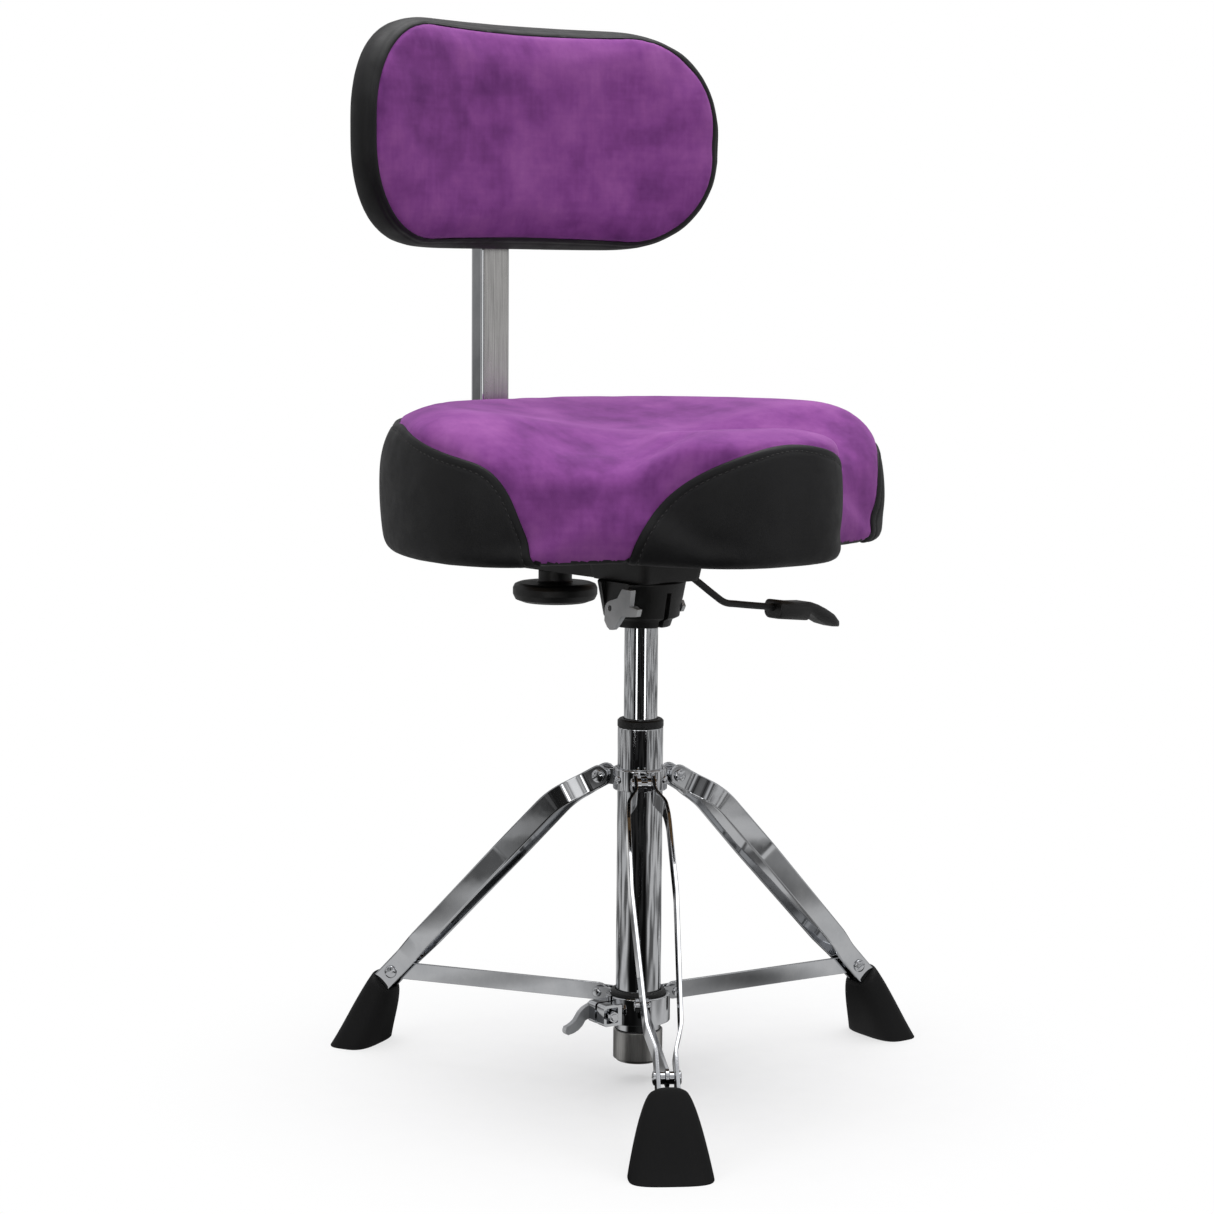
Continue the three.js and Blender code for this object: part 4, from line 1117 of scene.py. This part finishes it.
class Pad:
    """A cushion in polar form: an outline round its middle, and heights above its flat base.

    right and ahead lie in the base, out points away from it. An angle is measured from ahead
    towards right. All lengths are in mm.
    """

    def __init__(self, centre, right, ahead, out):
        self.centre = centre
        self.right, self.ahead, self.out = right, ahead, out
        self.count = 360
        self.radii = []

    def spoke(self, angle):
        turn = math.radians(angle)
        return self.right * math.sin(turn) + self.ahead * math.cos(turn)

    def place(self, angle, radius, height):
        return self.centre + self.spoke(angle) * radius * MM + self.out * height * MM

    def trace(self, node, height):
        """Takes the radius at each degree from a CAD solid, with its facets evened out."""
        solid = BVHTree.FromObject(frame["nodes"][node], bpy.context.evaluated_depsgraph_get())
        found = []
        for degree in range(self.count):
            start = self.place(degree, 400, height)
            hit = solid.ray_cast(start, -self.spoke(degree))[0]
            found.append((hit - self.place(degree, 0, height)).length / MM)
        reach = 5
        even = []
        for degree in range(self.count):
            near = [found[(degree + k) % self.count] * math.cos(math.pi * k / (2 * reach + 2))
                    for k in range(-reach, reach + 1)]
            weight = sum(math.cos(math.pi * k / (2 * reach + 2)) for k in range(-reach, reach + 1))
            even.append(sum(near) / weight)
        self.radii = even

    def rounded_rectangle(self, half_width, half_height, corner):
        """Takes the radius at each degree from a rectangle with round corners."""
        self.radii = []
        core = Vector((half_width - corner, half_height - corner))
        for degree in range(self.count):
            turn = math.radians(degree)
            way = Vector((abs(math.sin(turn)), abs(math.cos(turn))))
            flat = min(half_width / max(way.x, 1e-6), half_height / max(way.y, 1e-6))
            if way.x * flat > core.x and way.y * flat > core.y:
                along = way.dot(core)
                flat = along + math.sqrt(corner ** 2 - core.length_squared + along ** 2)
            self.radii.append(flat)

    def radius(self, angle):
        place = angle % 360
        low = int(place)
        return mix(self.radii[low % 360], self.radii[(low + 1) % 360], place - low)

    def inside(self, angle, inset):
        """The radius of a line that keeps inset mm square in from the outline."""
        here = self.radius(angle)
        slope = (self.radius(angle + 2) - self.radius(angle - 2)) / math.radians(4) / here
        return here - inset * math.sqrt(1 + slope ** 2)


BASE_CORNER = 10  # radius of the cushions' lower edges
FACE_CORNER = 9  # radius of the back cushion's front edge
BULGE = 3  # how far the middle of a cushion's wall stands out
FABRIC_VOXEL = 5
CLOTH = {
    "quality": 5,
    "mass": 0.3,
    "tension_stiffness": 12,
    "compression_stiffness": 12,
    "shear_stiffness": 5,
    "bending_stiffness": 0.6,
    "use_pressure": True,
}
CLOTH_FRAMES = 20


def pad_body(pad, name, top, rim, inset, drop, tight, pocket, pocket_deep):
    """The closed fabric body as rings: crown, rim, wall, lower corner, underside and pocket.

    rim is the crown's height at its edge; the wall starts inset mm out from there and drop mm
    lower. The body is cut tight mm small, and its pocket keeps pocket mm in from the outline.
    """
    rings = []
    angles = [i * 360 / 240 for i in range(240)]

    def ring(line):
        rings.append([pad.place(a, *line(a)) for a in angles])

    crown_steps, rim_steps, wall_steps, corner_steps, pocket_steps = 22, 8, 14, 5, 12
    for k in range(1, crown_steps + 1):
        share = k / crown_steps
        ring(lambda a: (share * (pad.radius(a) - tight - inset(a)), top(share, a)))
    for k in range(1, rim_steps + 1):
        turn = math.pi / 2 * (1 - k / rim_steps)
        ring(lambda a: (pad.radius(a) - tight - inset(a) * (1 - math.cos(turn)),
                        rim(a) - drop(a) * (1 - math.sin(turn))))
    for k in range(1, wall_steps + 1):
        share = k / wall_steps
        bulge = BULGE * math.sin(math.pi * share)
        ring(lambda a: (pad.radius(a) - tight + bulge,
                        mix(rim(a) - drop(a), BASE_CORNER, share)))
    for k in range(1, corner_steps + 1):
        turn = math.pi / 2 * k / corner_steps
        ring(lambda a: (pad.radius(a) - tight - BASE_CORNER * (1 - math.cos(turn)),
                        BASE_CORNER * (1 - math.sin(turn))))
    ring(lambda a: (pad.inside(a, pocket), 0))
    ring(lambda a: (pad.inside(a, pocket), pocket_deep))
    for k in range(1, pocket_steps):
        ring(lambda a: (pad.inside(a, pocket) * (1 - k / pocket_steps), pocket_deep))
    return raw(name, *loft(rings))


def stuff(body, pad, pressure, cap, passes):
    """Turns a plain body into a stuffed cushion, with its small crumples ironed out.

    No point of the fabric moves more than cap mm; passes is how often it is ironed.
    """
    modify(body, "REMESH", mode="VOXEL", voxel_size=FABRIC_VOXEL * MM)
    simulate(body, pad, pressure, cap)
    modify(body, "SMOOTH", factor=0.5, iterations=passes)
    modify(body, "SUBSURF", levels=1, render_levels=1)


def simulate(made, pad, pressure, cap):
    """Blows the cushion up as cloth, holding its base and lower corner, then bakes it in."""
    points = [v.co.copy() for v in made.data.vertices]
    held = [i for i, p in enumerate(points) if (p - pad.centre).dot(pad.out) < BASE_CORNER * MM]
    pins = made.vertex_groups.new(name="held")
    pins.add(held, 1.0, "REPLACE")
    cloth = made.modifiers.new("stuffing", "CLOTH")
    for key, value in CLOTH.items():
        setattr(cloth.settings, key, value)
    cloth.settings.uniform_pressure_force = pressure
    cloth.settings.vertex_group_mass = pins.name
    cloth.settings.effector_weights.gravity = 0
    cloth.collision_settings.use_collision = False
    scene = bpy.context.scene
    for number in range(1, CLOTH_FRAMES + 1):
        scene.frame_set(number)
    apply_modifiers(made)
    scene.frame_set(1)
    made.vertex_groups.clear()
    for vertex, start in zip(made.data.vertices, points):
        moved = vertex.co - start
        if moved.length > cap * MM:
            vertex.co = start + moved.normalized() * cap * MM


class Skin:
    """The finished surface of a cushion, found by casting rays at it.

    wall is the height above the lower corner at which the face's own corner starts.
    """

    def __init__(self, made, pad, wall=math.inf):
        self.pad = pad
        self.wall = wall
        self.tree = BVHTree.FromObject(made, bpy.context.evaluated_depsgraph_get())

    def at(self, angle, run):
        """The surface point and normal at run mm above the lower corner, or, below 0, on round
        the corner and in under the base."""
        pad = self.pad
        away = 40
        arc = BASE_CORNER * math.pi / 2
        edge = pad.radius(angle)
        if run > self.wall:
            turn = (run - self.wall) / FACE_CORNER
            way = -pad.spoke(angle) * math.cos(turn) - pad.out * math.sin(turn)
            start = pad.place(angle, edge - FACE_CORNER, BASE_CORNER + self.wall) - way * away * MM
        elif run >= 0:
            start = pad.place(angle, edge + away, BASE_CORNER + run)
            way = -pad.spoke(angle)
        elif run > -arc:
            turn = -run / BASE_CORNER
            way = -pad.spoke(angle) * math.cos(turn) + pad.out * math.sin(turn)
            start = pad.place(angle, edge - BASE_CORNER, BASE_CORNER) - way * away * MM
        else:
            start = pad.place(angle, edge - BASE_CORNER - (-run - arc), -away)
            way = pad.out
        point, normal, _, _ = self.tree.ray_cast(start, way)
        if normal.dot(way) > 0:
            normal = -normal
        return point, normal

    def nearest(self, point):
        spot, normal, _, _ = self.tree.find_nearest(point)
        return spot, normal


PANEL_PROUD = 1.3  # how far a sewn panel stands off the body
PANEL_BACK = 1.4  # how far its back is sunk in the body
SEAM_FADE = 1.3  # how quickly the panel rises from its seam and its groove
STITCH_GROOVE = 0.55
STITCH_INSET = 7.0
STITCH_LENGTH = 3.2
STITCH_PITCH = 5.2
STITCH_DIP = 0.25  # how far a stitch's ends dip into the panel
THREAD_R = 0.5


def panel(skin, name, angles, seam_run, low_run, rows, body, closed=False):
    """A sewn vinyl panel over the body: rows go from its seam down to its edge under the base.

    It returns the piece, and its seam as (point, normal) pairs.
    """
    seam = [skin.at(a, seam_run(a)) for a in angles]
    near = KDTree(len(seam))
    for i, (point, _) in enumerate(seam):
        near.insert(point, i)
    near.balance()
    outer, inner = [], []
    for row in range(rows + 1):
        share = (row / rows) ** 1.15
        over, under = [], []
        for a in angles:
            point, normal = skin.at(a, mix(seam_run(a), low_run, share))
            gap = near.find(point)[2] / MM
            lift = PANEL_PROUD * (1 - 1.25 * math.exp(-gap / SEAM_FADE))
            lift -= STITCH_GROOVE * math.exp(-(((gap - STITCH_INSET) / SEAM_FADE) ** 2))
            if row == rows:
                lift = 0.1
            over.append(point + normal * lift * MM)
            under.append(point - normal * PANEL_BACK * MM)
        outer.append(over)
        inner.append(under)
    vertices, faces = shell(outer, inner, closed)
    made = piece(name, vertices, faces, "vinyl", body, slot="black_plastic", crease=60)
    return made, seam


def shell(outer, inner, closed):
    """A closed sheet from two matching grids of points."""
    rows, columns = len(outer), len(outer[0])
    vertices = [p for row in outer for p in row] + [p for row in inner for p in row]
    back = rows * columns
    faces = []
    last = columns if closed else columns - 1
    for r in range(rows - 1):
        for c in range(last):
            d = (c + 1) % columns
            a, b, e, f = r * columns + c, r * columns + d, (r + 1) * columns + d, (r + 1) * columns + c
            faces.append((a, b, e, f))
            faces.append((back + f, back + e, back + b, back + a))
    for c in range(last):
        d = (c + 1) % columns
        for r in (0, rows - 1):
            a, b = r * columns + c, r * columns + d
            faces.append((a, back + a, back + b, b))
    if not closed:
        for r in range(rows - 1):
            for c in (0, columns - 1):
                a, b = r * columns + c, (r + 1) * columns + c
                faces.append((a, b, back + b, back + a))
    return vertices, faces


def stitches(skin, name, seam, inwards, body, closed=False):
    """A row of thread stitches that keeps to one side of a seam, towards the point inwards."""
    line = []
    count = len(seam)
    for i, (point, normal) in enumerate(seam):
        ahead = seam[(i + 1) % count][0] if closed or i + 1 < count else point
        behind = seam[i - 1][0] if closed or i > 0 else point
        along = (ahead - behind).normalized()
        side = normal.cross(along).normalized()
        if side.dot(inwards(point) - point) < 0:
            side = -side
        spot, facing = skin.nearest(point + side * STITCH_INSET * MM)
        line.append((spot + facing * (PANEL_PROUD - STITCH_GROOVE) * MM, facing))
    if closed:
        line.append(line[0])
    spots = []
    travelled = STITCH_PITCH
    for (p0, n0), (p1, _) in zip(line, line[1:]):
        span = (p1 - p0).length / MM
        if span < 1e-4:
            continue
        while travelled <= span:
            spots.append((p0.lerp(p1, travelled / span), (p1 - p0).normalized(), n0))
            travelled += STITCH_PITCH
        travelled -= span
    vertices, faces = [], []
    sides, rows = 8, 7
    for centre, along, normal in spots:
        across = along.cross(normal).normalized()
        rings = []
        for r in range(rows):
            s = -math.cos(math.pi * r / (rows - 1))
            thick = THREAD_R * math.sqrt(max(0.02, 1 - s ** 4))
            sink = STITCH_DIP * s * s
            middle_point = centre + along * s * STITCH_LENGTH / 2 * MM - normal * sink * MM
            rings.append([middle_point + (across * math.cos(t) + normal * math.sin(t)) * thick * MM
                          for t in (2 * math.pi * k / sides for k in range(sides))])
        new_vertices, new_faces = loft(rings)
        base = len(vertices)
        vertices += new_vertices
        faces += [tuple(base + i for i in face) for face in new_faces]
    return piece(name, vertices, faces, "thread", body, slot="black_plastic", crease=60)


def line_base(body, out):
    """Gives a cushion's base, round its board, plain black lining instead of velvet."""
    body.data.materials.append(FINISH["vinyl"])
    for face in body.data.polygons:
        if face.normal.dot(out) < -0.6:
            face.material_index = 1


def build_board(pad, node, finish, body, inset, low, high):
    """A board in a cushion's pocket, as rings from its middle out to its edge and back."""
    steps = 12
    rings = []
    for level, shares in ((low, range(1, steps + 1)), (high, range(steps, 0, -1))):
        for k in shares:
            share = k / steps
            rings.append([pad.place(a, pad.inside(a, inset) * share, level) for a in range(0, 360, 2)])
    return piece(f"{node}_finish", *loft(rings), finish, body, [node])


def crease_along(made, seams, depth, reach):
    """Draws the fabric in along its seams."""
    points = [p for seam in seams for p, _ in seam]
    near = KDTree(len(points))
    for i, point in enumerate(points):
        near.insert(point, i)
    near.balance()
    normals = [v.normal.copy() for v in made.data.vertices]
    for vertex, normal in zip(made.data.vertices, normals):
        gap = near.find(vertex.co)[2] / MM
        if gap < reach * 3:
            vertex.co -= normal * depth * math.exp(-((gap / reach) ** 2)) * MM


# ---------------------------------------------------------------- seat


SEAT_CENTRE_HEIGHT = 91
SEAT_REAR_RIM, SEAT_NOSE_RIM, SEAT_CUT_RIM = 112, 101, 77
SEAT_LEAN = 0.8  # degrees the nose hangs down
NOSE_SIDE = 44.3  # angle at which the nose panel ends
REAR_SIDE = 64.3  # angle at which the rear panel starts
NOSE_SEAM_HEIGHT, SIDE_SEAM_HEIGHT = 96, 86
REAR_SEAM_RISE = 18  # how much higher the rear panel's seam is behind than at the sides


def folded(angle):
    """An angle as 0 to 180 either side of the nose."""
    angle = angle % 360
    return min(angle, 360 - angle)


def seat_blend(angle, nose, cutout, rear):
    """A value that goes from nose to cutout to rear round the seat."""
    turn = folded(angle)
    if turn < 54:
        return mix(nose, cutout, smooth(22, 48, turn))
    return mix(cutout, rear, smooth(60, 88, turn))


def build_seat():
    low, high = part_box("seat_cushion")
    centre = Vector((AXIS.x, AXIS.y, low.z))
    thick = (high.z - low.z) / MM
    pad = Pad(centre, RIGHT, -BACK, UP)
    pad.trace("seat_cushion", 0.35 * thick)

    def rim(a):
        return seat_blend(a, SEAT_NOSE_RIM, SEAT_CUT_RIM, SEAT_REAR_RIM)

    def top(share, a):
        return mix(SEAT_CENTRE_HEIGHT, rim(a), smooth(0.0, 1.0, share))

    def inset(a):
        return seat_blend(a, 20, 26, 32)

    def drop(a):
        return seat_blend(a, 10, 17, 18)

    body = pad_body(
        pad, "seat_cushion_finish", top, rim, inset, drop, tight=2.5, pocket=20, pocket_deep=12.6
    )
    stuff(body, pad, pressure=3.2, cap=5, passes=10)
    skin = Skin(body, pad)

    under = -BASE_CORNER * math.pi / 2 - 3  # the panels end 3 mm in under the base

    def nose_seam(a):
        turn = min(1, folded(a) / NOSE_SIDE)
        return mix(under, NOSE_SEAM_HEIGHT - BASE_CORNER, (1 - turn ** 2) ** 0.6)

    def rear_seam(a):
        turn = max(0, folded(a) - REAR_SIDE)
        rise = 1 - math.exp(-turn / 3.8)
        low = mix(under, SIDE_SEAM_HEIGHT - BASE_CORNER, rise)
        return low + REAR_SEAM_RISE * smooth(76, 104, folded(a))

    nose_angles = spread_angles(-NOSE_SIDE, NOSE_SIDE, 240)
    rear_angles = spread_angles(REAR_SIDE, 360 - REAR_SIDE, 420)
    rows = 70
    nose_panel, nose_line = panel(skin, "seat_nose_panel", nose_angles, nose_seam, under, rows, "seat")
    rear_panel, rear_line = panel(skin, "seat_rear_panel", rear_angles, rear_seam, under, rows, "seat")

    nose_middle = pad.place(0, pad.radius(0), 30)
    nose_thread = stitches(skin, "seat_nose_stitches", nose_line, lambda p: nose_middle, "seat")

    def rear_inwards(point):
        turned_by = math.degrees(math.atan2(point.x - AXIS.x, AXIS.y - point.y)) % 360
        aim = mix(turned_by, 180, 0.25)
        return pad.place(aim, pad.radius(aim), 20)

    rear_thread = stitches(skin, "seat_rear_stitches", rear_line, rear_inwards, "seat")
    crease_along(body, [nose_line, rear_line], depth=1.1, reach=2.6)
    dress(body, "velvet", "seat", ["seat_cushion"], crease=80)
    line_base(body, UP)
    for made in (body, nose_panel, rear_panel, nose_thread, rear_thread):
        lean_forward(made, centre)

    build_board(pad, "seat_board", "plywood", "seat", inset=21, low=1.5, high=12)


def lean_forward(made, centre):
    """Tips a piece of the cushion nose-down about a cross line through its base."""
    slope = math.tan(math.radians(SEAT_LEAN))
    for vertex in made.data.vertices:
        vertex.co.z += (vertex.co.y - centre.y) * slope


def spread_angles(start, end, count):
    """Angles packed closer towards both ends."""
    return [mix(start, end, (1 - math.cos(math.pi * k / count)) / 2) for k in range(count + 1)]


# ---------------------------------------------------------------- back cushion


BACK_THICK = 55.3
BACK_CORNER = 84
BACK_CURVE_R = 500  # the pad's face is hollow, bent to this radius about an upright axis
BACK_THINNING = 20  # how much thinner the pad is at its ends


def bend_back(made, pad, half_width):
    """Thins a piece of the flat pad towards its ends and bends it hollow towards the sitter."""
    for vertex in made.data.vertices:
        along = (vertex.co.x - pad.centre.x) / MM
        depth = BACK_THICK - (pad.centre.y - vertex.co.y) / MM
        depth *= 1 - BACK_THINNING / BACK_THICK * min(1, along / half_width) ** 2
        turn = along / BACK_CURVE_R
        radius = BACK_CURVE_R + depth
        vertex.co.x = pad.centre.x + radius * math.sin(turn) * MM
        vertex.co.y = pad.centre.y + (radius * math.cos(turn) - BACK_CURVE_R - BACK_THICK) * MM


def build_back_cushion():
    low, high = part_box("back_cushion")
    centre = middle("back_cushion")
    centre.y = high.y
    half_height = (high.z - low.z) / 2 / MM
    end_depth = BACK_THICK - BACK_THINNING
    half_width = BACK_CURVE_R * math.asin((high.x - low.x) / 2 / MM / (BACK_CURVE_R + end_depth))
    pad = Pad(centre, RIGHT, UP, -BACK)
    pad.rounded_rectangle(half_width, half_height, BACK_CORNER)

    def rim(a):
        return BACK_THICK - 6.5

    def top(share, a):
        return BACK_THICK - 5.0 - 1.5 * share ** 4

    body = pad_body(
        pad, "back_cushion_finish", top, rim, inset=lambda a: 8, drop=lambda a: 7, tight=4, pocket=25,
        pocket_deep=9.6,
    )
    stuff(body, pad, pressure=2.6, cap=4, passes=16)
    wall = BACK_THICK - 15 - BASE_CORNER
    skin = Skin(body, pad, wall)
    angles = [k * 360 / 420 for k in range(420)]
    seam_at = wall + FACE_CORNER * math.radians(52)
    under = -BASE_CORNER * math.pi / 2 - 14
    rows = 50
    band, line = panel(skin, "back_cushion_band", angles, lambda a: seam_at, under, rows,
                       "backrest", closed=True)
    crease_along(body, [line], depth=1.0, reach=2.4)
    board = build_board(pad, "back_board", "black_plastic", "backrest", inset=26, low=0, high=9)
    dress(body, "velvet", "backrest", ["back_cushion"], crease=80)
    line_base(body, pad.out)
    for made in (body, band, board):
        bend_back(made, pad, half_width)


# ---------------------------------------------------------------- what the CAD already shapes


def finish_cad_nodes():
    """Finishes for the CAD nodes that stay, with softened edges."""
    slots = {entry["node"]: entry["material_slot"] for entry in frame["record"]["subparts"]}
    for name, node in frame["nodes"].items():
        if node.hide_render:
            continue
        node.data.materials.clear()
        node.data.materials.append(FINISH[slots[name]])
        weld = node.modifiers.new("weld", "WELD")
        weld.merge_threshold = 0.01 * MM
        soften(node, 1.0 if name in ("hub_lever", "clamp_lever") else 0.3, 3)


# ---------------------------------------------------------------- studio


CAMERA_DISTANCE = 2.349
CAMERA_HEIGHT = 0.6772
CAMERA_SIDE = 40.0  # degrees round from straight ahead of the sitter
CAMERA_PAN, CAMERA_PITCH, CAMERA_ROLL = -0.7, 6.68, -0.42
CAMERA_LENS = 84.42


def build_camera():
    side = math.radians(CAMERA_SIDE)
    place = AXIS + Vector((-math.sin(side), -math.cos(side), 0)) * CAMERA_DISTANCE
    place.z = CAMERA_HEIGHT
    heading = math.radians(CAMERA_SIDE + CAMERA_PAN)
    pitch = math.radians(CAMERA_PITCH)
    level = math.cos(pitch)
    look = Vector((math.sin(heading) * level, math.cos(heading) * level, -math.sin(pitch)))
    right = look.cross(UP).normalized()
    up = right.cross(look)
    roll = Matrix.Rotation(math.radians(CAMERA_ROLL), 3, look)
    right, up = roll @ right, roll @ up
    turn = Matrix((right, up, -look)).transposed().to_4x4()
    camera = bpy.data.objects.new("camera", bpy.data.cameras.new("camera"))
    camera.data.lens = CAMERA_LENS
    camera.data.sensor_width = 36
    camera.matrix_world = Matrix.Translation(place) @ turn
    bpy.context.scene.collection.objects.link(camera)
    bpy.context.scene.camera = camera
    return look, right


def softbox(name, at, aim, size, power, mirrored=True):
    """An area light at a place in metres; the metal shows it if it is mirrored."""
    light = bpy.data.lights.new(name, "AREA")
    light.shape = "RECTANGLE"
    light.size, light.size_y = size
    light.energy = power
    lamp = bpy.data.objects.new(name, light)
    lamp.location = at
    lamp.rotation_euler = (aim - at).to_track_quat("-Z", "Y").to_euler()
    lamp.visible_camera = False
    lamp.visible_glossy = mirrored
    bpy.context.scene.collection.objects.link(lamp)


BACKGROUND = (1, 1, 1, 1)
# What the metal mirrors, the nearer it looks back towards the camera: 1 is straight at it.
ROOM = [(0.64, (0.26, 0.26, 0.2626, 1)), (0.8, (0.01, 0.01, 0.0101, 1)), (1.0, (1, 1, 1, 1))]
FLOOR = [(0.64, (0.26, 0.26, 0.26, 1)), (0.72, (0.1, 0.1, 0.1, 1)), (0.8, (0.01, 0.01, 0.01, 1))]
FLOOR_SPAN = 5
FLOOR_SIDES = 24
MIDDLE = Vector((0, 0, 0.45))
STRIP_HEIGHT = 0.24
STRIP_AWAY = 0.9


def build_studio(look, right):
    bpy.context.scene.view_settings.view_transform = "Standard"
    flat = Vector((look.x, look.y, 0)).normalized()
    behind_camera = Matrix.Rotation(math.radians(-8), 3, UP) @ -flat
    build_room(behind_camera)
    build_floor(behind_camera)
    softbox("overhead", Vector((0.2, 0.1, 2.3)), MIDDLE, (2.0, 2.0), power=34)
    key = MIDDLE - flat * 1.6 - right * 1.7 + UP * 0.9
    softbox("key", key, MIDDLE, (1.2, 1.2), power=12, mirrored=False)
    fill = MIDDLE - flat * 1.5 + right * 1.8 + UP * 0.4
    softbox("fill", fill, MIDDLE, (1.2, 1.6), power=9, mirrored=False)
    # Two low strips that show in the gas lift only, as its pair of bright lines.
    for turn in (-28, 30):
        way = Matrix.Rotation(math.radians(-turn), 3, UP) @ -flat
        level = AXIS + UP * STRIP_HEIGHT
        softbox(f"strip_{turn}", level + way * STRIP_AWAY, level, (0.15, 0.15), power=0.2)


def build_room(behind_camera):
    """The room that the metal mirrors: light behind the camera and overhead, a dark ring, grey sides."""
    world = bpy.data.worlds.new("studio")
    bpy.context.scene.world = world
    world.use_nodes = True
    world.node_tree.nodes.clear()
    sky = Nodes(world.node_tree, "Generated")
    walls = sky.ramp(sky.facing(sky.place, behind_camera), ROOM)
    uneven = sky.grey(sky.noise(3.1, 2, 0.5), 0.6, 3.2, 0.42, 0.58)
    room = sky.add("VectorMath", settings={"operation": "SCALE"}, Vector=walls, Scale=uneven)
    height = sky.add("SeparateXYZ", output="Z", Vector=sky.place)
    lit = sky.blend(sky.grey(height, 0, 1, 0.35, 0.8), room, (0.95, 0.95, 0.97, 1))
    studio = sky.add("Background", Color=lit, Strength=0.8)
    seen = sky.either(sky.add("LightPath"), studio, sky.add("Background", Color=BACKGROUND))
    output = sky.tree.nodes.new("ShaderNodeOutputWorld")
    sky.join(output.inputs["Surface"], seen)


def build_floor(behind_camera):
    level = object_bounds()[0].z
    rim = [
        (FLOOR_SPAN * math.cos(a), FLOOR_SPAN * math.sin(a), level)
        for a in (2 * math.pi * k / FLOOR_SIDES for k in range(FLOOR_SIDES))
    ]
    mesh = bpy.data.meshes.new("floor")
    faces = [(FLOOR_SIDES, k, (k + 1) % FLOOR_SIDES) for k in range(FLOOR_SIDES)]
    mesh.from_pydata(rim + [(0, 0, level)], [], faces)
    floor = bpy.data.objects.new("floor", mesh)
    bpy.context.scene.collection.objects.link(floor)
    floor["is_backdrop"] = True
    mesh.materials.append(floor_paint(behind_camera))


def floor_paint(behind_camera):
    """Pale paint that fades into the background, and that the metal sees as grey as the room."""
    shader = Shader("floor")
    speckle = shader.noise(40, 3)
    shader.set(
        Base_Color=shader.ramp(speckle, [(0.2, (0.86, 0.86, 0.865, 1)), (0.8, (0.9, 0.9, 0.905, 1))]),
        Roughness=0.6,
        Specular_IOR_Level=0.15,
    )
    length = {"operation": "LENGTH"}
    distance = shader.add("VectorMath", output="Value", settings=length, Vector=shader.place)
    pale = shader.add("Emission", Color=BACKGROUND)
    painted = shader.either(shader.grey(distance, 0, 1, -0.2, 0.45), shader.surface.outputs[0], pale)
    way = shader.add("VectorMath", settings={"operation": "NORMALIZE"}, Vector=shader.place)
    room = shader.ramp(shader.facing(way, behind_camera), FLOOR)
    patches = shader.grey(shader.noise(3.5, 1), 0.5, 2.6, 0.42, 0.58)
    mirrored = shader.add("Emission", Color=room, Strength=patches)
    seen = shader.either(shader.add("LightPath"), mirrored, painted)
    shader.join(shader.tree.nodes["Material Output"].inputs["Surface"], seen)
    return shader.material


build_column()
build_legs()
build_collars()
build_hub()
build_knob()
build_height_lever()
build_backrest_bar()
build_seat()
build_back_cushion()
finish_cad_nodes()
look, right = build_camera()
build_studio(look, right)
